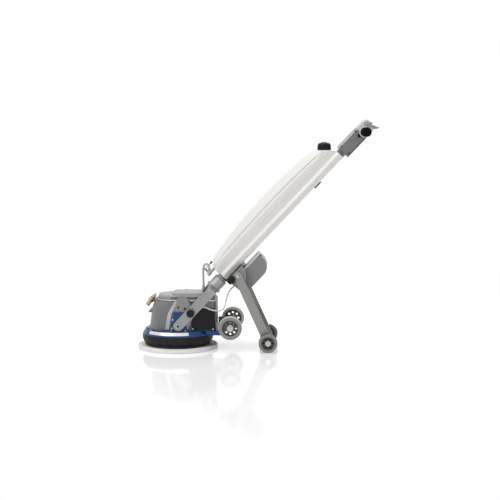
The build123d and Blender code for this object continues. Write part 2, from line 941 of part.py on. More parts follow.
with BuildPart() as yoke:
    with BuildSketch(handle_across(web_start)):
        Rectangle(2 * arm_inner, arm_width)
        Circle(sleeve_diameter / 2 + arm_thickness / 2)
        Circle(column_radius, mode=Mode.SUBTRACT)
    extrude(amount=web_thickness)
    with BuildSketch(handle_across(arm_length)):
        Circle(sleeve_diameter / 2)
        Circle(column_radius, mode=Mode.SUBTRACT)
    extrude(amount=sleeve_length)
keep(yoke, "yoke")

with BuildPart() as clamp_collar:
    with BuildSketch(handle_across(sleeve_end)):
        Circle(collar_diameter / 2)
        Circle(column_radius, mode=Mode.SUBTRACT)
    extrude(amount=collar_length)
    seat_depth = tank_low_front - tap_pipe_diameter - arm_thickness + tank_rear
    with BuildSketch(handle_across(collar_end)):
        with Locations((0, seat_depth / 2 - tank_rear)):
            RectangleRounded(2 * collar_diameter, seat_depth, arm_thickness)
        Circle(column_radius, mode=Mode.SUBTRACT)
    extrude(amount=tank_start - collar_end)
keep(clamp_collar, "clamp_collar")

with BuildPart() as column:
    with BuildSketch(handle_across(web_start)):
        Circle(column_radius)
        Circle(column_radius - column_wall, mode=Mode.SUBTRACT)
    extrude(amount=column_end - web_start)
keep(column, "column")

# Solution tank

shoulder_high = (
    shoulder_at + shoulder_length * along_x,
    shoulder_front - shoulder_length * along_z,
)
filler_x, shoulder_z = handle_point(
    shoulder_at + filler_offset * along_x, shoulder_front - filler_offset * along_z
)
tank_arc_low_at = tank_start + tank_low_rise
channel_radius = column_radius + channel_gap


def tank_solid(wall):
    """Tank body with bevelled front corners, drawn in by a wall on every side."""
    half = tank_half_width - wall
    flat = tank_half_width - tank_bevel_width
    sections = []
    for y, bevel in ((-half, tank_bevel_depth), (-flat, 0), (flat, 0), (half, tank_bevel_depth)):
        with BuildSketch(handle_side(y)) as section:
            with BuildLine():
                sides = Polyline(
                    (tank_arc_low_at, tank_arc_low - bevel),
                    (tank_start, tank_low_front - bevel * tank_low_front / tank_arc_low),
                    (tank_start, -tank_rear),
                    (tank_end, -tank_rear),
                    shoulder_high,
                    (shoulder_at, shoulder_front - bevel / 2),
                    (tank_arc_top_at, tank_arc_top - bevel),
                )
                ThreePointArc(sides @ 1, (tank_belly_at, tank_belly - bevel), sides @ 0)
            make_face()
            if wall:
                offset(amount=-wall, kind=Kind.INTERSECTION, mode=Mode.REPLACE)
        sections.append(section.sketch.face())
    with BuildPart() as body:
        for near, far in zip(sections, sections[1:]):
            loft(sections=[near, far], ruled=True)
        rear_line = tank_end - tank_start - 2 * wall - side_gap
        long_edges = body.edges().filter_by(lambda edge: edge.length > rear_line)
        corners = long_edges.filter_by(lambda edge: abs(edge.center().Y) > flat + side_gap)
        low_corners = corners.sort_by(Axis.Z)[0:2]
        fillet(low_corners, radius=tank_rear_radius - wall)
    return body.part


with BuildPart() as tank_cavity:
    add(tank_solid(tank_wall))
    with BuildSketch(handle_across(tank_start)):
        Circle(channel_radius + tank_wall)
        with Locations((0, -tank_rear / 2)):
            Rectangle(2 * (channel_radius + tank_wall), tank_rear)
    extrude(amount=tank_end - tank_start, mode=Mode.SUBTRACT)

with BuildPart() as tank:
    add(tank_solid(0))
    with BuildSketch(handle_across(tank_start)):
        Circle(channel_radius)
        with Locations((0, -tank_rear / 2)):
            Rectangle(2 * channel_radius, tank_rear)
    extrude(amount=tank_end - tank_start, mode=Mode.SUBTRACT)
    with BuildSketch(Plane(origin=(filler_x, 0, shoulder_z))):
        Circle(filler_neck_diameter / 2)
    extrude(amount=filler_neck_height)
    add(tank_cavity.part, mode=Mode.SUBTRACT)
    with BuildSketch(Plane(origin=(filler_x, 0, shoulder_z + filler_neck_height))):
        Circle(filler_hole_diameter / 2)
    extrude(amount=-filler_neck_height - 2 * tank_wall, mode=Mode.SUBTRACT)
    with BuildSketch(handle_across(tank_start)):
        with Locations((0, tap_front)):
            Circle(tap_bore_diameter / 2)
    extrude(amount=2 * tank_wall, mode=Mode.SUBTRACT)
keep(tank, "tank")

with BuildPart() as filler_cap:
    cap_base = Plane(origin=(filler_x, 0, shoulder_z + small_gap))
    with BuildSketch(cap_base):
        Circle(cap_diameter / 2)
        with PolarLocations(cap_diameter / 2, cap_ribs):
            Circle(cap_rib_depth, mode=Mode.SUBTRACT)
    extrude(amount=cap_height)
    with BuildSketch(cap_base):
        Circle(filler_neck_diameter / 2 + small_gap)
    extrude(amount=cap_height - cap_top, mode=Mode.SUBTRACT)
keep(filler_cap, "filler_cap")

# Outlet tap, its lever and the hose to the cover

tap_block_along = tank_start - tap_pipe_length - tap_block_length / 2
tap_x, tap_z = handle_point(tap_block_along, tap_front)
tap_collar_front = tap_front + tap_block_diameter / 2 + tap_stem_length
with BuildPart() as outlet_tap:
    with BuildSketch(handle_across(tank_start)):
        with Locations((0, tap_front)):
            Circle(tap_pipe_diameter / 2)
            Circle(tap_bore_diameter / 2, mode=Mode.SUBTRACT)
    extrude(amount=-tap_pipe_length)
    with BuildSketch(handle_across(tank_start - tap_pipe_length)):
        with Locations((0, tap_front)):
            Circle(tap_block_diameter / 2)
    extrude(amount=-tap_block_length)
    with BuildSketch(Plane(origin=(tap_x, 0, tap_z))):
        Circle(barb_diameter / 2)
    extrude(amount=barb_height)
    with BuildSketch(handle_side(0)):
        with Locations((tap_block_along, tap_front)):
            Circle(tap_hub_diameter / 2)
    extrude(amount=-tap_lever_side - tap_hub_diameter / 2)
    stem_base = Plane(
        origin=(tap_x, tap_lever_side, tap_z), x_dir=(0, 1, 0), z_dir=(-along_z, 0, along_x)
    )
    with BuildSketch(stem_base):
        Circle(tap_hub_diameter / 2)
    extrude(amount=tap_collar_front - tap_front)
    with BuildSketch(stem_base):
        Circle(tap_stem_diameter / 2)
    extrude(amount=tap_collar_front - tap_front + tap_hub_height + 2 * small_gap)
keep(outlet_tap, "outlet_tap")

with BuildPart() as tap_lever:
    hub_base = stem_base.offset(tap_collar_front - tap_front + small_gap)
    with BuildSketch(hub_base):
        Circle(tap_hub_diameter / 2)
    extrude(amount=tap_hub_height)
    rod_x, rod_z = handle_point(tap_block_along, tap_collar_front + small_gap + tap_hub_height / 2)
    rod_base = Plane(
        origin=(rod_x, tap_lever_side, rod_z), x_dir=(0, 1, 0), z_dir=(along_x, 0, along_z)
    )
    with BuildSketch(rod_base):
        Circle(tap_rod_diameter / 2)
    extrude(amount=tap_rod_length)
    with BuildSketch(rod_base.offset(tap_rod_length)):
        Circle(tap_tip_diameter / 2)
    extrude(amount=tap_tip_length)
    with BuildSketch(hub_base):
        Circle(tap_stem_diameter / 2 + running_fit)
    extrude(amount=tap_hub_height, mode=Mode.SUBTRACT)
keep(tap_lever, "tap_lever")

hose_start_z = tap_z + barb_height + soft_gap
hose_end_z = cover_top + nipple_height + soft_gap
hose_crown_z = hose_start_z + hose_rise
hose_drop_x = min(nipple_x - hose_bow, tap_x - hose_spread)
with BuildPart() as solution_hose:
    with BuildLine() as hose_line:
        rounded_path(
            [
                (tap_x, 0, hose_start_z),
                (tap_x, 0, hose_crown_z),
                (hose_drop_x, 0, hose_crown_z),
                (nipple_x, 0, hose_end_z + hose_lead),
                (nipple_x, 0, hose_end_z),
            ]
        )
    with BuildSketch(Plane(hose_line.line @ 0, z_dir=hose_line.line % 0)):
        Circle(hose_diameter / 2)
    sweep(path=hose_line.line)
keep(solution_hose, "solution_hose")
hose_length = sum(edge.length for edge in hose_line.edges())
hose_area = pi * hose_diameter**2 / 4
print("hose volume ratio", round(solution_hose.part.volume / hose_area / hose_length, 4))

# Leg bracket and capacitor box

leg_pivot_x, leg_pivot_z = handle_point(leg_pivot_along, -leg_pivot_rear)
knob_turn = radians(180 - leg_knob_angle)


def leg_lock_point(turn):
    """Lock hole beside the leg pivot in the handle's side view, after the leg turned by an angle."""
    angle = knob_turn + radians(turn)
    return (
        leg_pivot_along + leg_knob_radius * cos(angle),
        -leg_pivot_rear + leg_knob_radius * sin(angle),
    )


bracket_front = tank_rear + bracket_plate_gap
bracket_back = bracket_front + bracket_plate_thickness
with BuildPart() as leg_bracket:
    plate_middle = (bracket_plate_start + bracket_plate_end) / 2
    with BuildSketch(handle_side(0)):
        with Locations((plate_middle, -(bracket_front + bracket_back) / 2)):
            Rectangle(bracket_plate_end - bracket_plate_start, bracket_plate_thickness)
    extrude(amount=ear_half_width, both=True)
    with BuildSketch(handle_side(0)):
        with Locations((plate_middle, -(bracket_front + column_radius / 2) / 2)):
            Rectangle(bracket_plate_end - bracket_plate_start, bracket_front - column_radius / 2)
    extrude(amount=spine_width / 2, both=True)
    mount_depth = box_near - lid_thickness - bracket_back
    with BuildSketch(handle_side(0)):
        with Locations(((mount_start + bracket_plate_end) / 2, -bracket_back - mount_depth / 2)):
            Rectangle(bracket_plate_end - mount_start, mount_depth)
    extrude(amount=mount_half_width, both=True)
    with BuildSketch(handle_across(bracket_plate_start)):
        Circle(column_radius)
    extrude(amount=bracket_plate_end - bracket_plate_start, mode=Mode.SUBTRACT)
    for y in handle_starts(ear_half_width - ear_thickness, ear_thickness):
        with BuildSketch(handle_side(y)):
            with BuildLine():
                Polyline(
                    (bracket_plate_start, -bracket_front),
                    (bracket_plate_start + ear_slant, -ear_depth),
                    (leg_pivot_along + side_gap, -ear_depth),
                    (bracket_plate_end - ear_slant, -leg_pivot_rear - leg_pin_diameter),
                    (bracket_plate_end, -bracket_front),
                    close=True,
                )
            make_face()
            with Locations(leg_lock_point(0), leg_lock_point(leg_fold_angle)):
                Circle(leg_stem_diameter / 2 + pin_fit, mode=Mode.SUBTRACT)
        extrude(amount=ear_thickness)
    pin_end = leg_outer + small_gap
    pin_start = ear_half_width - ear_thickness
    for y in handle_starts(pin_start, pin_end - pin_start):
        with BuildSketch(handle_side(y)):
            with Locations((leg_pivot_along, -leg_pivot_rear)):
                Circle(leg_pin_diameter / 2)
        extrude(amount=pin_end - pin_start)
    for y in handle_starts(pin_end, bolt_head_height):
        with BuildSketch(handle_side(y)):
            with Locations((leg_pivot_along, -leg_pivot_rear)):
                Circle(bolt_head_diameter / 2)
        extrude(amount=bolt_head_height)
keep(leg_bracket, "leg_bracket")

box_middle = ((box_start + box_end) / 2, -(box_near + box_far) / 2)
with BuildPart() as capacitor_box:
    with BuildSketch(handle_side(0)) as box_side:
        with Locations(box_middle):
            Rectangle(box_end - box_start, box_far - box_near)
        far_corners = box_side.vertices().sort_by(Axis.Y)[0:2].sort_by(Axis.X)
        fillet(far_corners[1], radius=box_big_corner)
        fillet(far_corners[0], radius=box_small_corner)
    extrude(amount=box_half_width, both=True)
    with BuildSketch(handle_side(0)) as box_inside:
        with Locations((box_middle[0], box_middle[1] + box_wall)):
            Rectangle(box_end - box_start - 2 * box_wall, box_far - box_near)
        far_corners = box_inside.vertices().sort_by(Axis.Y)[0:2].sort_by(Axis.X)
        fillet(far_corners[1], radius=box_big_corner - box_wall)
        fillet(far_corners[0], radius=box_small_corner - box_wall)
    extrude(amount=box_half_width - box_wall, both=True, mode=Mode.SUBTRACT)
    with BuildSketch(handle_across(box_start)):
        with Locations((-box_gland_side, -box_gland_rear)):
            Circle(box_gland_diameter / 2)
    extrude(amount=-box_gland_height)
keep(capacitor_box, "capacitor_box")

with BuildPart() as box_lid:
    with BuildSketch(handle_side(0)):
        with Locations((box_middle[0], -box_near + lid_thickness / 2)):
            Rectangle(box_end - box_start + 2 * lid_lip, lid_thickness)
    extrude(amount=box_half_width + lid_lip, both=True)
    fillet(box_lid.edges().filter_by(Axis.Y), radius=lid_lip)
keep(box_lid, "box_lid")

# Motor cable from the box to the casing

gland_face = box_start - box_gland_height - soft_gap
gland_x, gland_z = handle_point(gland_face, -box_gland_rear)
lead_x, lead_z = handle_point(gland_face - cable_lead, -box_gland_rear)
cable_y = -(casing_half_width + cable_stand_off)
entry_x = cable_block_rear + soft_gap
drop_x = lead_x - cable_fall_x
drop_z = lead_z - cable_fall_z
with BuildPart() as motor_cable:
    with BuildLine() as cable_line:
        rounded_path(
            [
                (gland_x, -box_gland_side, gland_z),
                (lead_x, -box_gland_side, lead_z),
                (lead_x - cable_shelf, -box_gland_side - cable_diameter, lead_z - cable_diameter),
                (drop_x, (cable_y - box_gland_side) / 2, drop_z),
                (drop_x - cable_belly, cable_y, cable_entry_z - cable_dip),
                (drop_x - cable_belly - cable_sag_length, cable_y, cable_entry_z - cable_sag),
                (entry_x + cable_lead, cable_y, cable_entry_z),
                (entry_x, cable_y, cable_entry_z),
            ]
        )
    with BuildSketch(Plane(cable_line.line @ 0, z_dir=cable_line.line % 0)):
        Circle(cable_diameter / 2)
    sweep(path=cable_line.line)
keep(motor_cable, "motor_cable")
cable_length = sum(edge.length for edge in cable_line.edges())
cable_area = pi * cable_diameter**2 / 4
print("cable volume ratio", round(motor_cable.part.volume / cable_area / cable_length, 4))

# Folding leg with its castors

leg_reach_x = leg_axle_x - leg_pivot_x
leg_axle_z = leg_wheel_diameter / 2
leg_reach_z = leg_axle_z - leg_pivot_z
leg_length = hypot(leg_reach_x, leg_reach_z)
leg_dir = (leg_reach_x / leg_length, 0, leg_reach_z / leg_length)
leg_across = (-leg_dir[2], 0, leg_dir[0])


def leg_side(y):
    """Plane of the leg's side view at the given Y: x down the leg, y to its rear."""
    return Plane(origin=(leg_pivot_x, y, leg_pivot_z), x_dir=leg_dir, z_dir=(0, -1, 0))


leg_knob_x, leg_knob_z = handle_point(*leg_lock_point(0))
knob_down = (leg_knob_x - leg_pivot_x) * leg_dir[0] + (leg_knob_z - leg_pivot_z) * leg_dir[2]
knob_back = (leg_knob_x - leg_pivot_x) * leg_across[0] + (leg_knob_z - leg_pivot_z) * leg_across[2]
with BuildPart() as leg_frame:
    for y in handle_starts(leg_inner, leg_plate_thickness):
        with BuildSketch(leg_side(y)):
            Circle(leg_head_diameter / 2)
            with Locations((leg_length / 2, 0)):
                Rectangle(leg_length, leg_width)
            with Locations((leg_length, 0)):
                Circle(leg_width / 2)
            with Locations((knob_down, knob_back)):
                Circle(leg_knob_lug / 2)
            with Locations((knob_down, knob_back / 2)):
                Rectangle(leg_knob_lug, abs(knob_back))
            Circle(leg_pin_diameter / 2 + running_fit, mode=Mode.SUBTRACT)
            with Locations((leg_length, 0)):
                Circle(leg_axle_diameter / 2, mode=Mode.SUBTRACT)
            with Locations((knob_down, knob_back)):
                Circle(leg_stem_diameter / 2 + running_fit, mode=Mode.SUBTRACT)
        extrude(amount=leg_plate_thickness)
    web_middle = (leg_web_start + leg_web_end) / 2
    with BuildSketch(leg_side(0)):
        with Locations((web_middle, 0)):
            Rectangle(leg_web_end - leg_web_start, leg_web_thickness)
    extrude(amount=leg_inner, both=True)
    web_x = leg_pivot_x + web_middle * leg_dir[0]
    web_z = leg_pivot_z + web_middle * leg_dir[2]
    with BuildSketch(Plane(origin=(web_x, 0, web_z), x_dir=leg_dir, z_dir=leg_across)):
        RectangleRounded(leg_window_length, leg_window_width, leg_window_corner)
    extrude(amount=leg_web_thickness, both=True, mode=Mode.SUBTRACT)
keep(leg_frame, "leg_frame")

leg_axle_place = (leg_axle_x, leg_axle_z)
leg_axle_end = leg_wheel_outer + small_gap + axle_cap_length
with BuildPart() as leg_axle:
    with BuildSketch(Plane.XZ):
        with Locations(leg_axle_place):
            Circle(leg_axle_diameter / 2)
    extrude(amount=leg_axle_end, both=True)
    leg_spacer = leg_wheel_inner - small_gap - leg_outer
    for start in side_starts(leg_outer, leg_spacer):
        with BuildSketch(Plane.XZ.offset(start)):
            with Locations(leg_axle_place):
                Circle(bolt_head_diameter / 2)
        extrude(amount=leg_spacer)
    for start in side_starts(leg_wheel_outer + small_gap, axle_cap_length):
        with BuildSketch(Plane.XZ.offset(start)):
            with Locations(leg_axle_place):
                Circle(bolt_head_diameter / 2)
        extrude(amount=axle_cap_length)
keep(leg_axle, "leg_axle")

leg_rim = leg_wheel_diameter / 2 - leg_tyre_thickness
leg_wheel_starts = side_starts(leg_wheel_inner, leg_wheel_width)
for side, start in zip(("left", "right"), leg_wheel_starts):
    with BuildPart() as leg_wheel:
        with BuildSketch(Plane.XZ.offset(start)):
            with Locations(leg_axle_place):
                Circle(leg_wheel_diameter / 2)
                Circle(leg_axle_diameter / 2 + running_fit, mode=Mode.SUBTRACT)
        extrude(amount=leg_wheel_width)
        outer_edges = leg_wheel.edges().filter_by(GeomType.CIRCLE).sort_by(SortBy.RADIUS)[-2:]
        fillet(outer_edges, radius=leg_tyre_round)
        for face_start in (start, start + leg_wheel_width - leg_hub_dish):
            with BuildSketch(Plane.XZ.offset(face_start)):
                with Locations(leg_axle_place):
                    Circle(leg_rim - leg_hub_dish)
                    Circle(bolt_head_diameter / 2, mode=Mode.SUBTRACT)
            extrude(amount=leg_hub_dish, mode=Mode.SUBTRACT)
    keep(leg_wheel, f"leg_wheel_{side}")

# Transport wheels on the tail of the base

wheel_place = (wheel_x, wheel_z)
with BuildPart() as axle_brackets:
    for start in side_starts(axle_bracket_inner, axle_bracket_thickness):
        with BuildSketch(Plane.XZ.offset(start)):
            with BuildLine():
                Polyline(
                    (casing_rear + side_gap, base_top),
                    (tail_length, base_top),
                    (wheel_x, wheel_z - axle_lug_diameter / 2),
                    (wheel_x, wheel_z + axle_lug_diameter / 2),
                    (casing_rear + side_gap, wheel_z + axle_lug_diameter / 2),
                    close=True,
                )
            make_face()
            with Locations(wheel_place):
                Circle(axle_lug_diameter / 2)
                Circle(axle_diameter / 2, mode=Mode.SUBTRACT)
        extrude(amount=axle_bracket_thickness)
keep(axle_brackets, "axle_brackets")

axle_end = wheel_outer + small_gap + axle_cap_length
with BuildPart() as transport_axle:
    with BuildSketch(Plane.XZ):
        with Locations(wheel_place):
            Circle(axle_diameter / 2)
    extrude(amount=axle_end, both=True)
    bracket_face = axle_bracket_inner + axle_bracket_thickness
    axle_spacer = wheel_inner - small_gap - bracket_face
    for start in side_starts(bracket_face, axle_spacer):
        with BuildSketch(Plane.XZ.offset(start)):
            with Locations(wheel_place):
                Circle(axle_collar_diameter / 2)
        extrude(amount=axle_spacer)
    for start in side_starts(wheel_outer + small_gap, axle_cap_length):
        with BuildSketch(Plane.XZ.offset(start)):
            with Locations(wheel_place):
                Circle(axle_collar_diameter / 2)
        extrude(amount=axle_cap_length)
keep(transport_axle, "transport_axle")

rim_radius = wheel_diameter / 2 - tyre_thickness
hub_dish = (wheel_width - hub_web) / 2
for side, start in zip(("left", "right"), side_starts(wheel_inner, wheel_width)):
    with BuildPart() as transport_tyre:
        with BuildSketch(Plane.XZ.offset(start)):
            with Locations(wheel_place):
                Circle(wheel_diameter / 2)
                Circle(rim_radius, mode=Mode.SUBTRACT)
        extrude(amount=wheel_width)
        fillet(transport_tyre.edges().filter_by(GeomType.CIRCLE).sort_by(SortBy.RADIUS)[-2:], radius=tyre_thickness / 2)
    keep(transport_tyre, f"transport_tyre_{side}")
    with BuildPart() as transport_hub:
        with BuildSketch(Plane.XZ.offset(start)):
            with Locations(wheel_place):
                Circle(rim_radius)
                Circle(axle_diameter / 2 + running_fit, mode=Mode.SUBTRACT)
        extrude(amount=wheel_width)
        for face_start in (start, start + wheel_width - hub_dish):
            with BuildSketch(Plane.XZ.offset(face_start)):
                with Locations(wheel_place):
                    Circle(rim_radius - hub_rim)
                    Circle(axle_lug_diameter / 2, mode=Mode.SUBTRACT)
            extrude(amount=hub_dish, mode=Mode.SUBTRACT)
        hole_orbit = (rim_radius - hub_rim + axle_lug_diameter / 2) / 2
        with BuildSketch(Plane.XZ.offset(start)):
            with Locations(wheel_place):
                with PolarLocations(hole_orbit, hub_holes):
                    Circle(hub_hole_diameter / 2)
        extrude(amount=wheel_width, mode=Mode.SUBTRACT)
    keep(transport_hub, f"transport_hub_{side}")

# Lock knobs

knob_sides = (("left", 1), ("right", -1))
for side, sign in knob_sides:
    outward = (0, -sign, 0)
    knob_x, knob_z = handle_point(index_radius, 0)
    tip_y = -sign * (bracket_inner + small_gap)
    tip_plane = Plane(origin=(knob_x, tip_y, knob_z), z_dir=outward)
    head_start_at = arm_outer + arm_lock_travel + small_gap - bracket_inner - small_gap
    with BuildPart() as arm_knob:
        with BuildSketch(tip_plane):
            Circle(arm_stem_diameter / 2)
        extrude(amount=head_start_at)
        with BuildSketch(tip_plane.offset(head_start_at)):
            Circle(knob_diameter / 2)
        extrude(amount=knob_height)
        fillet(arm_knob.edges().filter_by(GeomType.CIRCLE).sort_by(SortBy.RADIUS)[-1], radius=knob_round)
    keep(arm_knob, f"arm_knob_{side}")

for side, sign in knob_sides:
    outward = (0, -sign, 0)
    tip_y = -sign * (ear_half_width + small_gap)
    tip_plane = Plane(origin=(leg_knob_x, tip_y, leg_knob_z), z_dir=outward)
    head_start_at = leg_outer + leg_lock_travel + small_gap - ear_half_width - small_gap
    with BuildPart() as leg_knob:
        with BuildSketch(tip_plane):
            Circle(leg_stem_diameter / 2)
        extrude(amount=head_start_at)
        with BuildSketch(tip_plane.offset(head_start_at)):
            Circle(knob_diameter / 2)
        extrude(amount=knob_height)
        fillet(leg_knob.edges().filter_by(GeomType.CIRCLE).sort_by(SortBy.RADIUS)[-1], radius=knob_round)
    keep(leg_knob, f"leg_knob_{side}")

# Head with handlebar, levers and button

head_middle = (0, (head_front - head_rear) / 2)
head_depth = head_front + head_rear
with BuildPart() as head_shell:
    with BuildSketch(handle_across(head_start)):
        with Locations(head_middle):
            RectangleRounded(2 * head_half_width, head_depth, head_corner)
    extrude(amount=head_split - head_start)
    with BuildSketch(handle_across(head_start + head_wall)):
        with Locations(head_middle):
            RectangleRounded(
                2 * (head_half_width - head_wall), head_depth - 2 * head_wall, head_corner - head_wall
            )
    extrude(amount=head_split - head_start, mode=Mode.SUBTRACT)
    with BuildSketch(handle_across(tank_end + small_gap)):
        Circle(neck_diameter / 2)
    extrude(amount=head_start - tank_end)
    with BuildSketch(handle_across(tank_end)):
        Circle(column_radius)
    extrude(amount=head_start + head_wall - tank_end, mode=Mode.SUBTRACT)
    with BuildSketch(handle_side(0)):
        with Locations((cord_gland_along, -cord_gland_rear)):
            Circle(cord_gland_bore / 2)
    extrude(amount=head_half_width, mode=Mode.SUBTRACT)
keep(head_shell, "head_shell")

with BuildPart() as head_cap:
    with BuildSketch(handle_across(head_split)):
        with Locations(head_middle):
            RectangleRounded(2 * head_half_width, head_depth, head_corner)
    extrude(amount=head_end - head_split)
    end_face = head_cap.faces().sort_by(lambda face: (face.center() - Vector(pivot_x, 0, pivot_z)).length)[-1]
    end_edges = end_face.edges().filter_by(Axis.Y).sort_by(Axis.Z)
    fillet(end_edges[-1], radius=head_nose_corner)
    with BuildSketch(handle_across(head_split)):
        with Locations(head_middle):
            RectangleRounded(
                2 * (head_half_width - head_wall), head_depth - 2 * head_wall, head_corner - head_wall
            )
    inside = extrude(amount=head_end - head_split - head_wall, mode=Mode.PRIVATE)
    inside_edges = inside.edges().filter_by(Axis.Y).sort_by(
        lambda edge: edge.center().X * (along_x - along_z) + edge.center().Z * (along_z + along_x)
    )
    add(inside.fillet(head_nose_corner - head_wall, [inside_edges[-1]]), mode=Mode.SUBTRACT)
    with BuildSketch(handle_side(0)):
        with Locations((bar_along, -bar_rear)):
            Circle(bar_diameter / 2)
    extrude(amount=head_half_width, both=True, mode=Mode.SUBTRACT)
    with BuildSketch(handle_across(head_end - 2 * head_wall)):
        with Locations((0, -button_rear)):
            Circle(button_diameter / 2 + running_fit)
    extrude(amount=2 * head_wall, mode=Mode.SUBTRACT)
    pin_root = head_half_width - head_wall / 2
    pin_reach = lever_pin_length + head_wall / 2
    for y in handle_starts(pin_root, pin_reach):
        with BuildSketch(handle_side(y)):
            with Locations((lever_pin_along, lever_pin_front)):
                Circle(lever_pin_diameter / 2)
        extrude(amount=pin_reach)
keep(head_cap, "head_cap")

with BuildPart() as handlebar:
    with BuildSketch(handle_side(0)):
        with Locations((bar_along, -bar_rear)):
            Circle(bar_diameter / 2)
            Circle(bar_diameter / 2 - column_wall, mode=Mode.SUBTRACT)
    extrude(amount=bar_length / 2, both=True)
keep(handlebar, "handlebar")

with BuildPart() as grips:
    grip_inner = bar_length / 2 - grip_length
    for y in handle_starts(grip_inner, grip_length + grip_end):
        with BuildSketch(handle_side(y)):
            with Locations((bar_along, -bar_rear)):
                Circle(grip_diameter / 2)
        extrude(amount=grip_length + grip_end)
    with BuildSketch(handle_side(0)):
        with Locations((bar_along, -bar_rear)):
            Circle(bar_diameter / 2)
    extrude(amount=bar_length / 2, both=True, mode=Mode.SUBTRACT)
    fillet(grips.edges().filter_by(GeomType.CIRCLE).group_by(SortBy.RADIUS)[-1], radius=grip_end)
keep(grips, "grips")

strap_along = lever_bar_along - lever_pin_along
strap_front = -lever_bar_rear - lever_pin_front
strap_length = hypot(strap_along, strap_front)
strap_turn = degrees(atan2(strap_front, strap_along))
lever_inner = head_half_width + side_gap
for side, y_plate, y_bar in (
    ("left", -lever_inner, -lever_inner),
    ("right", lever_inner + lever_plate, lever_bar_end),
):
    with BuildPart() as lever:
        with BuildSketch(handle_side(y_plate)):
            with Locations((lever_pin_along, lever_pin_front)):
                Circle(lever_hub_diameter / 2)
            with Locations((lever_bar_along, -lever_bar_rear)):
                Circle(lever_strap / 2)
            with Locations((lever_pin_along + strap_along / 2, lever_pin_front + strap_front / 2)):
                Rectangle(strap_length, lever_strap, rotation=strap_turn)
            with Locations((lever_pin_along, lever_pin_front)):
                Circle(lever_pin_diameter / 2 + running_fit, mode=Mode.SUBTRACT)
        extrude(amount=lever_plate)
        with BuildSketch(handle_side(y_bar)):
            with Locations((lever_bar_along, -lever_bar_rear)):
                Circle(lever_bar_diameter / 2)
        extrude(amount=lever_bar_end - lever_inner)
    keep(lever, f"lever_{side}")

with BuildPart() as safety_button:
    button_base = head_end + button_proud - button_length
    with BuildSketch(handle_across(button_base)):
        with Locations((0, -button_rear)):
            Circle(button_flange_diameter / 2)
    extrude(amount=button_flange)
    with BuildSketch(handle_across(button_base)):
        with Locations((0, -button_rear)):
            Circle(button_diameter / 2)
    extrude(amount=button_length)
keep(safety_button, "safety_button")

with BuildPart() as cord_gland:
    with BuildSketch(handle_side(-head_half_width)):
        with Locations((cord_gland_along, -cord_gland_rear)):
            Circle(cord_gland_diameter / 2)
            Circle(cord_gland_bore / 2, mode=Mode.SUBTRACT)
    extrude(amount=cord_gland_length)
keep(cord_gland, "cord_gland")

# Front valve

valve_dir = (cos(radians(valve_lean)), 0, sin(radians(valve_lean)))
valve_plane = Plane(origin=(valve_center_x, 0, valve_center_z), x_dir=(0, 1, 0), z_dir=valve_dir)
with BuildPart() as valve_body:
    with BuildSketch(valve_plane):
        RegularPolygon(valve_nut_size / 2, 6)
    extrude(amount=valve_nut_length / 2, both=True)
    with BuildSketch(valve_plane):
        Circle(valve_barrel_diameter / 2)
    extrude(amount=-valve_barrel_length)
    with BuildSketch(valve_plane):
        Circle(valve_stem_diameter / 2)
    extrude(amount=valve_stem_length)
    with BuildSketch(valve_plane):
        Circle(valve_pin_diameter / 2)
    extrude(amount=valve_stem_length + valve_lever_thickness + 2 * small_gap)
    spigot_end = casing_radius(valve_center_z) - side_gap
    with BuildSketch(Plane(origin=(-spigot_end, 0, valve_center_z - valve_spigot_drop), z_dir=(-1, 0, 0))):
        Circle(valve_spigot_diameter / 2)
    extrude(amount=-valve_center_x - spigot_end)
    add(casing_form, mode=Mode.SUBTRACT)
keep(valve_body, "valve_body")

with BuildPart() as valve_lever:
    with BuildSketch(valve_plane.offset(valve_stem_length + small_gap)):
        SlotOverall(valve_lever_length, valve_lever_width)
        Circle(valve_pin_diameter / 2 + running_fit, mode=Mode.SUBTRACT)
    extrude(amount=valve_lever_thickness)
keep(valve_lever, "valve_lever")

print(len(pieces), "pieces")
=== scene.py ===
import json
from math import atan2, cos, pi, radians, sin, tau

import bmesh
import bpy
from mathutils import Matrix, Vector


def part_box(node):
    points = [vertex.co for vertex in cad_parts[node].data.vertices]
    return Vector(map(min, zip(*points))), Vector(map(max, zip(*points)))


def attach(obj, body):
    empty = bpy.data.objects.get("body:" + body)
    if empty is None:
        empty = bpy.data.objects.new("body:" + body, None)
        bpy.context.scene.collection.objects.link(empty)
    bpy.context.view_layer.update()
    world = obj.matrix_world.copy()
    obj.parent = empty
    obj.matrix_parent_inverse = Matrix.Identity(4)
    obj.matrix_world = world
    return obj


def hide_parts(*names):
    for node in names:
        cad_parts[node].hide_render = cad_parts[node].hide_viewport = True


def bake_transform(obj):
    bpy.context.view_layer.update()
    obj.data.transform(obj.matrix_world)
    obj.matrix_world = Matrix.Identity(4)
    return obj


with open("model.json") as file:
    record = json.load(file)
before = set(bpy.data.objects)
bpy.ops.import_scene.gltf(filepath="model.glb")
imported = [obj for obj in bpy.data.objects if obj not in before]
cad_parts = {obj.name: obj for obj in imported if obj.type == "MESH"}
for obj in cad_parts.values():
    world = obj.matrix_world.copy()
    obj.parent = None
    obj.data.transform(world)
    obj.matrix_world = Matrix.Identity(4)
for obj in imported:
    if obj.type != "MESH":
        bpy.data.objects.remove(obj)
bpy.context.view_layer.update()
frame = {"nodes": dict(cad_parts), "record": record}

bl_info = {
    "name": "Floor Machine Dressing",
    "version": (1, 0, 0),
    "blender": (4, 5, 0),
    "location": "3D View > Sidebar > Floor Machine",
    "description": "Finishes, cords and small parts for a single-disc floor machine",
    "category": "Object",
}

BACK = Vector((1, 0, 0))
SIDE = Vector((0, 1, 0))
UP = Vector((0, 0, 1))
SIDES = {"left": -1, "right": 1}  # as the operator sees them, with the sign of Y
BOTH = tuple(SIDES.values())

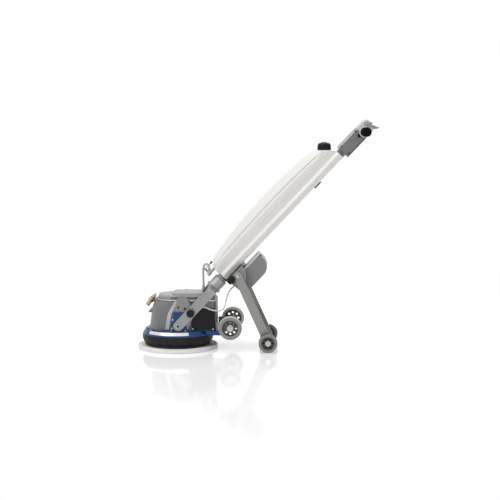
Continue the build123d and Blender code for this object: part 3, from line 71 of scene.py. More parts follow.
# The handle's own directions, from its pivot
PIVOT = Vector((0.015, 0, 0.140))
LEAN = radians(46.6)
ALONG = Vector((cos(LEAN), 0, sin(LEAN)))
FRONT = Vector((-sin(LEAN), 0, cos(LEAN)))

# Axes across the machine: how far behind the pad's middle they lie, and how high
TILT_AXIS = (0.015, 0.140)
TRANSPORT_AXIS = (0.293, 0.134)
CASTOR_AXIS = (0.493, 0.050)
LEG_AXIS = (0.3307, 0.4065)


def on_handle(along, front, side=0.0):
    """Point given along the handle, in front of its axis and to its side, in metres."""
    return PIVOT + ALONG * along + FRONT * front + SIDE * side


def turned(origin, x, z):
    """Matrix that puts a shape's own X and Z along two directions at a point."""
    z = Vector(z).normalized()
    y = z.cross(Vector(x)).normalized()
    x = y.cross(z)
    made = Matrix((x, y, z)).transposed().to_4x4()
    made.translation = origin
    return made


def outward(x, side, height, y):
    """Matrix at a point on one side of the machine, with a shape's own Z facing away from it."""
    return turned(Vector((x, y * side, height)), BACK, SIDE * y)


def quarter(steps, first=0):
    """Angles over a quarter turn."""
    return [pi / 2 * k / steps for k in range(first, steps + 1)]


# Sizes and colours


def length(name, text, value, low, high):
    """A length property in metres."""
    return bpy.props.FloatProperty(name=name, description=text, default=value, min=low, max=high, unit="LENGTH")


def number(name, text, value, low, high):
    """A property that counts."""
    return bpy.props.IntProperty(name=name, description=text, default=value, min=low, max=high)


def colour(name, text, value):
    """A colour property in linear values."""
    return bpy.props.FloatVectorProperty(
        name=name, description=text, subtype="COLOR", size=3, default=value, min=0.0, max=1.0
    )


class MachineSizes(bpy.types.PropertyGroup):
    """Sizes of what is added to the solids."""

    edge_round: length("Edge rounding", "Radius on the edges of metal pieces", 0.0009, 0.0002, 0.003)
    tank_round: length("Tank rounding", "Radius on the moulded corners of the tank", 0.009, 0.004, 0.014)
    crease_depth: length("Crease depth", "Depth of the line moulded along the tank's sides", 0.0080, 0.001, 0.009)
    hose_diameter: length("Hose diameter", "Outer diameter of the solution hose", 0.011, 0.008, 0.014)
    cable_diameter: length("Cable diameter", "Outer diameter of the motor cable", 0.008, 0.006, 0.011)
    grip_rings: number("Grip rings", "Moulded rings on each hand grip", 15, 6, 24)
    knob_ribs: number("Knob ribs", "Ribs round each locking knob", 20, 10, 40)
    cap_ribs: number("Cap ribs", "Ribs round the filler cap", 30, 16, 60)
    vent_slats: number("Vent slats", "Slats in each vent of the motor cover", 13, 6, 24)
    pad_fibres: number("Pad fibres", "Loose fibres on the rim of the pad", 2600, 500, 6000)


class MachineColours(bpy.types.PropertyGroup):
    """Colours of the finishes."""

    tank: colour("Tank", "Moulded tank", (0.825, 0.815, 0.780))
    blue: colour("Blue", "Enamel of base and brackets", (0.005, 0.056, 0.180))
    casing: colour("Casing", "Painted motor casting", (0.185, 0.187, 0.19))
    cover: colour("Cover", "Moulded motor cover", (0.36, 0.362, 0.365))
    arm: colour("Arms", "Brushed alloy of the arms", (0.30, 0.302, 0.305))
    leg: colour("Leg", "Brushed alloy of the leg", (0.27, 0.268, 0.255))
    head: colour("Head", "Moulded head", (0.185, 0.185, 0.188))
    black: colour("Black", "Black plastic", (0.007, 0.007, 0.008))
    rubber: colour("Rubber", "Black rubber", (0.009, 0.009, 0.010))
    tyre: colour("Tyres", "Pale wheel rubber", (0.70, 0.685, 0.61))
    pad: colour("Pad", "White pad fibre", (0.95, 0.95, 0.94))
    brass: colour("Brass", "Pale brass of the valve", (0.40, 0.32, 0.215))


def sizes():
    return bpy.context.scene.machine_sizes


def colours():
    return bpy.context.scene.machine_colours


# Node helpers

FLOAT, COLOUR, VECTOR, COUNT = "NodeSocketFloat", "NodeSocketColor", "NodeSocketVector", "NodeSocketInt"
GEOMETRY, MATERIAL = "NodeSocketGeometry", "NodeSocketMaterial"


def fill(tree, sockets, values):
    """Gives sockets values or links. A node given as a value stands for its first output."""
    for key, value in values.items():
        if isinstance(value, bpy.types.Node):
            value = value.outputs[0]
        if isinstance(value, bpy.types.NodeSocket):
            tree.links.new(value, sockets[key])
        else:
            sockets[key].default_value = value


def put(tree, kind, sockets=None, **settings):
    """Adds a node, sets it, and fills its sockets."""
    made = tree.nodes.new(kind)
    for name, value in settings.items():
        setattr(made, name, value)
    fill(tree, made.inputs, sockets or {})
    return made


def math(tree, operation, first, second=0.0, clamp=False):
    return put(tree, "ShaderNodeMath", {0: first, 1: second}, operation=operation, use_clamp=clamp)


def scaled(tree, value, factor, base, clamp=False):
    """A value times a factor, plus a base."""
    return math(tree, "ADD", math(tree, "MULTIPLY", value, factor), base, clamp)


def ramp(tree, value, low, high, **settings):
    """0 to 1 while a value goes from low to high."""
    return put(tree, "ShaderNodeMapRange", {"Value": value, "From Min": low, "From Max": high}, **settings)


def noise(tree, where, scale, detail, rough=0.5, twist=0.0):
    return put(tree, "ShaderNodeTexNoise", {
        "Vector": where, "Scale": scale, "Detail": detail, "Roughness": rough, "Distortion": twist})


def apart(tree, vector):
    """The X, Y and Z of a vector, as outputs."""
    return put(tree, "ShaderNodeSeparateXYZ", {0: vector}).outputs


def vector_of(tree, parts):
    """A vector from the parts that are given; the others are 0."""
    return put(tree, "ShaderNodeCombineXYZ", parts)


def own_place(tree):
    """A piece's own coordinates."""
    return put(tree, "ShaderNodeTexCoord").outputs["Object"]


def blend_colour(tree, factor, first, second, mode="MIX"):
    made = put(tree, "ShaderNodeMix", {0: factor, 6: first, 7: second}, data_type="RGBA", blend_type=mode)
    return made.outputs[2]


def shaded(tree, tint, shade):
    """A colour made lighter or darker by a value."""
    grey = put(tree, "ShaderNodeCombineColor", {0: shade, 1: shade, 2: shade})
    return blend_colour(tree, 1.0, tint, grey.outputs[0], "MULTIPLY")


def rgba(value):
    return (*value, 1.0)


def new_group(name, kind, inputs, outputs):
    """An empty node group with named sockets, and the sockets at its two ends."""
    group = bpy.data.node_groups.new(name, kind)
    for label, socket, default in inputs:
        made = group.interface.new_socket(label, in_out="INPUT", socket_type=socket)
        if default is not None:
            made.default_value = default
    for label, socket in outputs:
        group.interface.new_socket(label, in_out="OUTPUT", socket_type=socket)
    return group, group.nodes.new("NodeGroupInput").outputs, group.nodes.new("NodeGroupOutput").inputs


def group_of(name, builder):
    """The shared group of that name, built the first time it is asked for."""
    return bpy.data.node_groups.get(name) or builder(name)


def use(tree, name, builder, sockets):
    return put(tree, "ShaderNodeGroup", sockets, node_tree=group_of(name, builder))


def mottle_group(name):
    """Slow unevenness of a painted or moulded surface, and its fine skin."""
    group, given, result = new_group(
        name, "ShaderNodeTree",
        [("Colour", COLOUR, (0.5, 0.5, 0.5, 1)), ("Uneven", FLOAT, 0.08), ("Patch Scale", FLOAT, 9.0),
         ("Skin Scale", FLOAT, 900.0), ("Roughness", FLOAT, 0.4), ("Rough Spread", FLOAT, 0.1)],
        [("Colour", COLOUR), ("Roughness", FLOAT), ("Height", FLOAT)],
    )
    where = own_place(group)
    swing = math(group, "SUBTRACT", noise(group, where, given["Patch Scale"], 5.0, 0.6), 0.5)
    fill(group, result, {
        "Colour": shaded(group, given["Colour"], scaled(group, swing, given["Uneven"], 1.0)),
        "Roughness": scaled(group, swing, given["Rough Spread"], given["Roughness"], True),
        "Height": noise(group, where, given["Skin Scale"], 2.0),
    })
    return group


def grain_group(name):
    """Lines left by brushing, along the X of the vector it is given."""
    group, given, result = new_group(
        name, "ShaderNodeTree",
        [("Vector", VECTOR, None), ("Colour", COLOUR, (0.6, 0.6, 0.6, 1)), ("Depth", FLOAT, 0.16),
         ("Roughness", FLOAT, 0.32)],
        [("Colour", COLOUR), ("Roughness", FLOAT), ("Height", FLOAT)],
    )
    stretched = put(group, "ShaderNodeMapping", {"Vector": given["Vector"], "Scale": (14, 950, 950)})
    lines = noise(group, stretched.outputs[0], 1.0, 4.0, 0.7)
    swing = math(group, "SUBTRACT", lines, 0.5)
    cloud = math(group, "SUBTRACT", noise(group, given["Vector"], 16.0, 4.0), 0.5)
    slow = math(group, "MULTIPLY", cloud, 0.25)
    shade = math(group, "ADD", scaled(group, swing, given["Depth"], slow), 1.0)
    fill(group, result, {
        "Colour": shaded(group, given["Colour"], shade),
        "Roughness": scaled(group, swing, 0.22, given["Roughness"], True),
        "Height": lines,
    })
    return group


def dust_group(name):
    """Dry film that gathers low on the machine, broken up by noise."""
    group, given, result = new_group(
        name, "ShaderNodeTree",
        [("Colour", COLOUR, (0.5, 0.5, 0.5, 1)), ("Film", COLOUR, (0.42, 0.40, 0.37, 1)),
         ("Amount", FLOAT, 0.15), ("Top", FLOAT, 0.16)],
        [("Colour", COLOUR), ("Mask", FLOAT)],
    )
    where = own_place(group)
    low = ramp(group, apart(group, where)["Z"], given["Top"], 0.0)
    broken = ramp(group, noise(group, where, 38.0, 6.0, 0.65), 0.42, 0.68)
    mask = math(group, "MULTIPLY", math(group, "MULTIPLY", low, broken), given["Amount"], True)
    fill(group, result, {
        "Colour": blend_colour(group, mask, given["Colour"], given["Film"]),
        "Mask": mask,
    })
    return group


def dusted(tree, tint, amount, top):
    """A tint with dust over it up to a height, where there is any."""
    if not amount:
        return tint
    return use(tree, "Dust", dust_group, {"Colour": tint, "Amount": amount, "Top": top}).outputs["Colour"]


# Finishes


def start_finish(name, metallic=0.0, **constants):
    """A new material with only its shader and output, and constants on the shader's sockets."""
    made = bpy.data.materials.new(name)
    made.use_nodes = True
    tree = made.node_tree
    tree.nodes.clear()
    shader = put(tree, "ShaderNodeBsdfPrincipled", {"Metallic": metallic, **constants})
    put(tree, "ShaderNodeOutputMaterial", {0: shader})
    return made, tree, shader


def end_finish(tree, shader, tint, rough, height, strength, depth):
    """Links the colour, the roughness and the raised surface to a finish's shader."""
    relief = put(tree, "ShaderNodeBump", {"Height": height, "Strength": strength, "Distance": depth})
    fill(tree, shader.inputs, {"Base Color": tint, "Roughness": rough, "Normal": relief})


def moulded(name, base, uneven=0.08, patch=9.0, skin=900.0, rough=0.4, spread=0.1, depth=0.00012,
            strength=0.35, dust=0.0, top=0.16, **constants):
    """Painted or moulded finish: slow unevenness, fine skin, and a film low down."""
    made, tree, shader = start_finish(name, **constants)
    skin_of = use(tree, "Mottle", mottle_group, {
        "Colour": rgba(base), "Uneven": uneven, "Patch Scale": patch, "Skin Scale": skin,
        "Roughness": rough, "Rough Spread": spread}).outputs
    end_finish(tree, shader, dusted(tree, skin_of["Colour"], dust, top), skin_of["Roughness"],
               skin_of["Height"], strength, depth)
    return made


def brushed(name, base, rough=0.32, depth=0.16, turn=(0, 0, 0), metallic=1.0, dust=0.0, top=0.2):
    """Brushed metal whose lines run along X after the turn."""
    made, tree, shader = start_finish(name, metallic)
    mapped = put(tree, "ShaderNodeMapping", {"Vector": own_place(tree), "Rotation": turn})
    grain = use(tree, "Brushed Grain", grain_group, {
        "Vector": mapped, "Colour": rgba(base), "Depth": depth, "Roughness": rough}).outputs
    end_finish(tree, shader, dusted(tree, grain["Colour"], dust, top), grain["Roughness"],
               grain["Height"], 0.25, 0.00006)
    return made


def speckled(name, base, fleck, scale, share, rough, depth):
    """Fibrous or grainy finish: two tones mixed by fine noise that also raises the surface."""
    made, tree, shader = start_finish(name)
    where = own_place(tree)
    fine = noise(tree, where, scale, 6.0, 0.75, 1.2)
    slow = noise(tree, where, scale / 30, 3.0)
    mixed = scaled(tree, fine, 0.75, math(tree, "MULTIPLY", slow, 0.25))
    mask = ramp(tree, mixed, share - 0.12, share + 0.12)
    end_finish(tree, shader, blend_colour(tree, mask, rgba(base), rgba(fleck)),
               scaled(tree, fine, 0.2, rough, True), fine, 0.8, depth)
    return made


def clear_hose(name):
    """Cloudy, half-clear hose wall with reinforcing threads that wind round it."""
    made, tree, shader = start_finish(name, **{"Transmission Weight": 0.18, "IOR": 1.42})
    along = put(tree, "ShaderNodeUVMap").outputs[0]
    flat = apart(tree, along)
    both = []
    for way in BOTH:
        wound = scaled(tree, flat["Y"], 95.0, math(tree, "MULTIPLY", flat["X"], way * 6.0))
        both.append(math(tree, "PINGPONG", wound, 0.5))
    thread = ramp(tree, math(tree, "MINIMUM", *both), 0.03, 0.11)
    tint = blend_colour(tree, thread, (0.34, 0.34, 0.33, 1), (0.56, 0.56, 0.545, 1))
    end_finish(tree, shader, tint, scaled(tree, noise(tree, along, 24.0, 3.0), 0.2, 0.18), thread, 0.3, 0.0002)
    return made


def wound_copper(name):
    """Lacquered copper turns between stacked plates."""
    made, tree, shader = start_finish(name, 1.0)
    where = own_place(tree)
    stack = math(tree, "PINGPONG", math(tree, "MULTIPLY", apart(tree, where)["Z"], 900.0), 0.5)
    cloud = noise(tree, where, 60.0, 4.0)
    tint = blend_colour(tree, cloud, (0.42, 0.17, 0.07, 1), (0.30, 0.28, 0.27, 1))
    end_finish(tree, shader, tint, scaled(tree, cloud, 0.3, 0.25), stack, 0.5, 0.0004)
    return made


FINISHES = {}
DULL = {"Specular IOR Level": 0.22}


def make_finishes():
    """Every finish of the machine, by its name."""
    own = colours()
    plain, across, upright, lean = (0, 0, 0), (radians(90), 0, 0), (0, radians(90), 0), (0, LEAN, 0)
    leg_lean = (0, radians(-65.5), 0)
    # Moulded: colour, unevenness, scales of its patches and its skin, roughness and how far that varies,
    # depth and strength of the skin, amount of dust and how high it reaches.
    # Brushed: colour, roughness, depth of the lines, their turn, share of metal, dust and how high it reaches.
    FINISHES.update({
        "tank": moulded("Tank White", own.tank, 0.03, 5.0, 520.0, 0.30, 0.10, 0.00010, 0.30,
                        **{"Coat Weight": 0.25, "Coat Roughness": 0.22}),
        "blue": moulded("Blue Enamel", own.blue, 0.16, 14.0, 700.0, 0.28, 0.14, 0.00012, 0.35, 0.06, 0.13,
                        **{"Coat Weight": 0.12, "Coat Roughness": 0.12, "Specular IOR Level": 0.25}),
        "rubber": moulded("Black Rubber", own.rubber, 0.35, 26.0, 620.0, 0.55, 0.25, 0.00025, 0.5, 0.10, 0.10,
                          **DULL),
        "casing": moulded("Casing Paint", own.casing, 0.10, 11.0, 640.0, 0.42, 0.16, 0.00030, 0.45, 0.10, 0.2,
                          metallic=0.35),
        "cover": moulded("Cover Plastic", own.cover, 0.07, 10.0, 950.0, 0.40, 0.12, 0.00012, 0.4),
        "black": moulded("Black Plastic", own.black, 0.30, 30.0, 800.0, 0.40, 0.16, 0.00012, 0.4, **DULL),
        "panel": moulded("Panel Black", (0.003, 0.003, 0.0035), 0.3, 18.0, 420.0, 0.30, 0.2, 0.00018, 0.4, 0.04,
                         **DULL),
        # Vent dark: the fan's own colour, also used for painted shade on the head's rear bands and inside the castor
        # webs.
        "vent": moulded("Vent Dark", (0.016, 0.016, 0.017), 0.3, 25.0, 500.0, 0.6, 0.2, 0.0002, 0.4, **DULL),
        "driver": moulded("Driver Black", (0.014, 0.013, 0.013), 0.4, 30.0, 380.0, 0.5, 0.2, 0.0003, 0.5, 0.2, 0.05,
                          **DULL),
        "plate": brushed("Plate Grey", (0.24, 0.24, 0.243), 0.44, 0.12, plain, 0.75),
        "arm": brushed("Arm Alloy", own.arm, 0.40, 0.16, lean, 0.85),
        "yoke": moulded("Cast Alloy", (0.42, 0.42, 0.418), 0.14, 16.0, 300.0, 0.46, 0.2, 0.0005, 0.5, metallic=0.7),
        "collar": moulded("Collar Grey", (0.34, 0.34, 0.335), 0.12, 16.0, 500.0, 0.42, 0.15, 0.0002, 0.4,
                          metallic=0.4),
        "column": brushed("Column Steel", (0.40, 0.40, 0.40), 0.34, 0.14, lean, 0.9),
        # Fitting pale: the tap's and the lever tips' own colour, also used as a painted highlight on the valve's
        # ridges, collar and flange.
        "fitting": moulded("Fitting Pale", (0.48, 0.475, 0.45), 0.1, 40.0, 900.0, 0.4, 0.1),
        "bracket": moulded("Bracket Grey", (0.24, 0.24, 0.238), 0.12, 14.0, 620.0, 0.42, 0.14, 0.0002, 0.4,
                           metallic=0.4),
        "box": moulded("Box Grey", (0.22, 0.22, 0.222), 0.07, 9.0, 760.0, 0.36, 0.12, 0.00016, 0.4,
                       **{"Coat Weight": 0.2, "Coat Roughness": 0.3}),
        # Lid pale: the box lid's own colour, also used for the painted highlight strips on the casing's cheeks.
        "lid": moulded("Lid Pale", (0.62, 0.62, 0.61), 0.05, 10.0, 800.0, 0.4, 0.1),
        "leg": brushed("Leg Alloy", own.leg, 0.42, 0.16, leg_lean, 0.85, 0.18, 0.25),
        "zinc": brushed("Zinc Steel", (0.46, 0.455, 0.43), 0.30, 0.10, across),
        "machined": brushed("Machined Steel", (0.52, 0.52, 0.53), 0.28, 0.14, upright),
        "gear": brushed("Gear Steel", (0.45, 0.45, 0.46), 0.34, 0.12, upright),
        "iron": moulded("Cast Iron", (0.13, 0.13, 0.135), 0.3, 22.0, 260.0, 0.6, 0.2, 0.0006, 0.6, metallic=0.6),
        "stack": wound_copper("Wound Stack"),
        "chrome": brushed("Chrome Hub", (0.42, 0.42, 0.415), 0.12, 0.08, across, 1.0, 0.12, 0.2),
        "cheek": moulded("Wheel Cheek", (0.255, 0.252, 0.24), 0.16, 34.0, 480.0, 0.44, 0.2, 0.0003, 0.5, 0.15, 0.2),
        "rim": moulded("Rim Grey", (0.105, 0.105, 0.103), 0.14, 30.0, 520.0, 0.36, 0.2, 0.0002, 0.4, 0.1, 0.2,
                       metallic=0.5),
        "web": moulded("Wheel Web", (0.055, 0.053, 0.050), 0.25, 40.0, 420.0, 0.34, 0.2, 0.0003, 0.45, 0.1, 0.2,
                       metallic=0.7),
        "tyre": moulded("Wheel Tyre", own.tyre, 0.16, 34.0, 480.0, 0.46, 0.2, 0.0003, 0.5, 0.25, 0.2),
        "castor": moulded("Castor Tyre", (0.155, 0.152, 0.135), 0.16, 34.0, 480.0, 0.48, 0.2, 0.0003, 0.5, 0.3, 0.1),
        "head": moulded("Head Grey", own.head, 0.06, 10.0, 700.0, 0.42, 0.1, 0.00018, 0.45),
        # Head pale: the cap's own colour, also used for the painted highlight bands along the head's front edges.
        "pale": moulded("Head Pale", (0.60, 0.60, 0.60), 0.06, 14.0, 800.0, 0.38, 0.1, 0.00014, 0.4),
        "grip": moulded("Grip Rubber", (0.005, 0.005, 0.006), 0.3, 40.0, 700.0, 0.75, 0.15, 0.0002, 0.5,
                        **{"Specular IOR Level": 0.08}),
        "brass": moulded("Pale Brass", own.brass, 0.20, 40.0, 700.0, 0.24, 0.2, 0.00015, 0.3, metallic=1.0),
        "pad": speckled("Pad Fibre", own.pad, (0.86, 0.86, 0.845), 620.0, 0.5, 0.7, 0.0007),
        "fibre": moulded("Loose Fibre", (0.92, 0.92, 0.91), 0.1, 60.0, 900.0, 0.75, 0.1),
        "cable": moulded("Cable Grey", (0.70, 0.70, 0.69), 0.08, 30.0, 900.0, 0.44, 0.12),
        "hose": clear_hose("Cloudy Hose"),
        # Pale metal: the strips on the base's rim, and the painted highlight line along the casing's lip.
        "bare_and_highlight": brushed("Bare Strip And Highlight", (0.70, 0.70, 0.69), 0.34, 0.10, plain, 0.6, 0.05),
    })


# What each solid is finished with, and the rounding of its edges in shares of the usual one.
# A share of 0 keeps the solid itself, or leaves it to the operator that builds its piece.
SOLIDS = {
    "pad_driver": ("driver", 1.0), "drive_hub": ("machined", 0), "planet_carrier": ("machined", 0),
    "planet_gear_1": ("gear", 0), "planet_gear_2": ("gear", 0), "planet_gear_3": ("gear", 0),
    "rotor_shaft": ("machined", 0), "rotor_core": ("stack", 0), "cooling_fan": ("vent", 0),
    "stator": ("stack", 0), "ring_gear": ("iron", 0), "bearing_plate": ("yoke", 0), "bearings": ("chrome", 0),
    "base_plate": ("blue", 1.6), "skirt": ("rubber", 1.0), "motor_casing": ("casing", 1.6),
    "side_panels": ("panel", 1.0), "motor_cover": ("cover", 1.4), "vent_band": ("casing", 0),
    "tilt_brackets": ("blue", 1.0), "index_plates": ("plate", 0.9), "pivot_bolts": ("zinc", 1.0),
    "arms": ("arm", 2.4), "yoke": ("yoke", 1.4), "clamp_collar": ("collar", 1.2), "column": ("column", 0),
    "outlet_tap": ("fitting", 0.7), "tap_lever": ("zinc", 0.5), "leg_bracket": ("bracket", 1.0),
    "capacitor_box": ("box", 1.4), "box_lid": ("lid", 1.0), "leg_frame": ("leg", 1.1), "leg_axle": ("zinc", 0.8),
    "axle_brackets": ("bracket", 1.2), "transport_axle": ("zinc", 0.8), "head_shell": ("head", 1.4),
    "head_cap": ("pale", 1.4), "handlebar": ("zinc", 0), "lever_left": ("arm", 0.8),
    "lever_right": ("arm", 0.8), "safety_button": ("black", 0.8), "cord_gland": ("black", 0.8),
    "valve_body": ("brass", 0.8), "valve_lever": ("brass", 0.8),
    "transport_tyre_left": ("tyre", 0), "transport_tyre_right": ("tyre", 0),
    "transport_hub_left": ("chrome", 0), "transport_hub_right": ("chrome", 0),
    "leg_wheel_left": ("castor", 0), "leg_wheel_right": ("castor", 0),
    "arm_knob_left": ("black", 1.0), "arm_knob_right": ("black", 1.0),
    "leg_knob_left": ("black", 0), "leg_knob_right": ("black", 0),
    "grips": ("grip", 1.0), "filler_cap": ("black", 0), "tank": ("tank", 0), "pad": ("pad", 3.4),
    "solution_hose": ("hose", 0), "motor_cable": ("cable", 0),
}


# Mesh helpers

TINY = 1e-9
UNTURNED = Matrix()
SMOOTH = 32  # degrees between faces, from which an edge is shaded sharp


def body_of(node):
    """The body that carries a CAD node."""
    return next(b for b, nodes in frame["record"]["behaviour"]["bodies"].items() if node in nodes)


def add(name, data):
    """A new object in the scene."""
    made = bpy.data.objects.new(name, data)
    bpy.context.scene.collection.objects.link(made)
    return made


def to_mesh(name, shape):
    mesh = bpy.data.meshes.new(name)
    shape.normal_update()
    shape.to_mesh(mesh)
    shape.free()
    return mesh


def shade(mesh, smooth=SMOOTH):
    """Shades a mesh smooth, apart from its sharp edges."""
    for face in mesh.polygons:
        face.use_smooth = True
    mesh.set_sharp_from_angle(angle=radians(smooth))


def settle(name, shape, finish, body, stands_for=(), smooth=SMOOTH):
    """Makes a shape a piece of the machine: its finish, its shading, and what it rides on."""
    mesh = to_mesh(name, shape)
    shade(mesh, smooth)
    mesh.materials.append(FINISHES[finish])
    piece = add(name, mesh)
    if body:
        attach(piece, body)
    if stands_for:
        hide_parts(*stands_for)
    return piece


def evaluated(holder):
    """A plain mesh of what an object looks like with its modifiers."""
    graph = bpy.context.evaluated_depsgraph_get()
    return bpy.data.meshes.new_from_object(holder.evaluated_get(graph), depsgraph=graph)


def fixed(piece):
    """Turns the modifiers' result into the piece's own mesh."""
    made = evaluated(piece)
    made.name = piece.name
    piece.modifiers.clear()
    piece.data = made
    return piece


def softened(piece, width):
    """Rounds the sharp edges of a piece."""
    rounding = piece.modifiers.new("Rounding", "BEVEL")
    rounding.width = width
    rounding.segments = 2
    rounding.limit_method = "ANGLE"
    rounding.angle_limit = radians(38)
    rounding.use_clamp_overlap = True
    rounding.harden_normals = True
    return fixed(piece)


def handle_front(point):
    return (point - PIVOT).dot(FRONT)


def handle_along(point):
    return (point - PIVOT).dot(ALONG)


# Radius of the large roundings between a piece's sides and the rest, and the space that they are kept to.
BIG_ROUNDS = {
    "motor_casing": (0.009, lambda p: p.x < 0.05 and 0.112 < p.z < 0.2675),
    "capacitor_box": (0.012, lambda p: handle_front(p) < -0.066),
    "head_shell": (0.010, lambda p: handle_front(p) > 0.02 and handle_along(p) > 1.262),
    "head_cap": (0.010, lambda p: abs(p.y) < 0.047 and (handle_front(p) > 0.02 or handle_along(p) > 1.45)),
}


def ease(shape, radius, within):
    """Rounds the edges where a piece's sides meet its other faces."""
    chosen = []
    for edge in shape.edges:
        if len(edge.link_faces) != 2:
            continue
        lean = sorted(abs(face.normal.y) for face in edge.link_faces)
        if lean[1] > 0.995 and lean[0] < 0.9 and within((edge.verts[0].co + edge.verts[1].co) / 2):
            chosen.append(edge)
    bmesh.ops.bevel(shape, geom=chosen, offset=radius, offset_type="OFFSET", segments=4, profile=0.5,
                    affect="EDGES", clamp_overlap=True)


def dressed(node, finish, share):
    """A merged copy of a solid with its sharp edges rounded, which stands for the solid."""
    shape = bmesh.new()
    shape.from_mesh(frame["nodes"][node].data)
    bmesh.ops.remove_doubles(shape, verts=shape.verts, dist=2e-6)
    bmesh.ops.dissolve_limit(shape, angle_limit=radians(0.6), verts=shape.verts, edges=shape.edges)
    if node in BIG_ROUNDS:
        ease(shape, *BIG_ROUNDS[node])
    piece = settle(node + "_dressed", shape, finish, None)
    softened(piece, sizes().edge_round * share)
    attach(piece, body_of(node))
    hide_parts(node)


def rounded(points, steps=5):
    """A closed flat outline of (x, y, radius) corners, with each corner rounded by its radius."""
    outline = []
    count = len(points)
    for i, (x, y, radius) in enumerate(points):
        here = Vector((x, y))
        before = Vector(points[i - 1][:2]) - here
        after = Vector(points[(i + 1) % count][:2]) - here
        if radius <= 0 or before.length < TINY or after.length < TINY:
            outline.append(here)
            continue
        before.normalize()
        after.normalize()
        half = before.angle(after) / 2
        reach = radius / max(abs(sin(half) / max(cos(half), TINY)), TINY)
        first, last = here + before * reach, here + after * reach
        middle = here + (before + after).normalized() * (radius / max(sin(half), TINY))
        start = atan2(first.y - middle.y, first.x - middle.x)
        turn = atan2(last.y - middle.y, last.x - middle.x) - start
        turn = (turn + pi) % tau - pi
        for k in range(steps + 1):
            angle = start + turn * k / steps
            outline.append(middle + Vector((cos(angle), sin(angle))) * radius)
    return outline


def rectangle(x_low, y_low, x_high, y_high, corner, steps=5):
    """The outline of a rectangle with rounded corners."""
    corners = ((x_low, y_low), (x_high, y_low), (x_high, y_high), (x_low, y_high))
    return rounded([(x, y, corner) for x, y in corners], steps)


def circle(radius, steps, x=0.0, y=0.0):
    """Points round a flat circle."""
    return [(x + radius * cos(tau * k / steps), y + radius * sin(tau * k / steps)) for k in range(steps)]


def ring_of(shape, outline, height, where):
    """New corners of a shape along an outline at a height, put in place."""
    return [shape.verts.new(where @ Vector((x, y, height))) for x, y in outline]


def join_rings(shape, low, high):
    """Faces between two closed rings, either of which may be a single point."""
    count = max(len(low), len(high))
    for i in range(count):
        j = (i + 1) % count
        corners = [low[i % len(low)], low[j % len(low)], high[j % len(high)], high[i % len(high)]]
        corners = list(dict.fromkeys(corners))
        if len(corners) > 2:
            shape.faces.new(corners)


def join_all(shape, rings):
    """Faces between each ring and the next."""
    for low, high in zip(rings, rings[1:]):
        join_rings(shape, low, high)


def closed_up(shape):
    """The shape with all its faces turned outwards."""
    bmesh.ops.recalc_face_normals(shape, faces=shape.faces)
    return shape


def lathe(profile, steps=64, closed=False, where=UNTURNED):
    """Turned shape: (radius, height) points carried round Z, then put in place."""
    shape = bmesh.new()
    rings = [ring_of(shape, circle(radius, steps)[:1 if radius < 1e-7 else steps], height, where)
             for radius, height in profile]
    join_all(shape, rings + rings[:1] if closed else rings)
    return closed_up(shape)


def merged(first, *others):
    """One shape from several."""
    for other in others:
        spare = to_mesh("spare", other)
        first.from_mesh(spare)
        bpy.data.meshes.remove(spare)
    return first


def slab(outline, low, high, where, chamfer):
    """A flat outline of (x, y) points raised from low to high, with a small chamfer at the top."""
    shape = bmesh.new()
    middle = sum((Vector(p) for p in outline), Vector((0, 0))) / len(outline)
    rings = []
    for height, inset in ((low, 0.0), (high - chamfer, 0.0), (high, chamfer)):
        drawn_in = []
        for p in outline:
            away = Vector(p) - middle
            drawn_in.append(middle + away * (1 - inset / max(away.length, TINY)))
        rings.append(ring_of(shape, drawn_in, height, where))
    join_all(shape, rings)
    shape.faces.new(list(reversed(rings[0])))
    shape.faces.new(rings[-1])
    return closed_up(shape)


def plate(loops, low, high, where):
    """A flat plate between two heights: the first loop is its edge, the others are holes in it."""
    shape = bmesh.new()
    levels = []
    for height in (low, high):
        rings = [ring_of(shape, loop, height, where) for loop in loops]
        edges = [shape.edges.new(pair) for ring in rings for pair in zip(ring, ring[1:] + ring[:1])]
        bmesh.ops.triangle_fill(shape, edges=edges, use_beauty=True, use_dissolve=False)
        levels.append(rings)
    for lower, upper in zip(*levels):
        join_rings(shape, lower, upper)
    return closed_up(shape)


# Geometry Nodes


def new_tree(name, inputs):
    """An empty geometry tree with its sizes and finish as inputs."""
    sockets = [("Geometry", GEOMETRY, None), *inputs, ("Finish", MATERIAL, None)]
    return new_group(name, "GeometryNodeTree", sockets, [("Geometry", GEOMETRY)])


def end_tree(group, given, result, part):
    """Closes a tree: a part on each place, along the place's facing, as real geometry with its finish."""
    facing = put(group, "GeometryNodeInputNamedAttribute", {"Name": "facing"}, data_type="FLOAT_VECTOR")
    turn = put(group, "FunctionNodeAlignRotationToVector", {"Vector": facing.outputs["Attribute"]}, axis="Z")
    spots = put(group, "GeometryNodeMeshToPoints", {0: given["Geometry"]})
    stood = put(group, "GeometryNodeInstanceOnPoints", {"Points": spots, "Instance": part, "Rotation": turn})
    real = put(group, "GeometryNodeRealizeInstances", {0: stood})
    coat = put(group, "GeometryNodeSetMaterial", {0: real, "Material": given["Finish"]})
    fill(group, result, {0: coat})
    return group


def places(spots):
    """A mesh of loose points that carry a facing direction, for a tree to grow on."""
    mesh = bpy.data.meshes.new("spots")
    mesh.from_pydata([tuple(place) for place, way in spots], [], [])
    facing = mesh.attributes.new("facing", "FLOAT_VECTOR", "POINT")
    facing.data.foreach_set("vector", [x for place, way in spots for x in way])
    return mesh


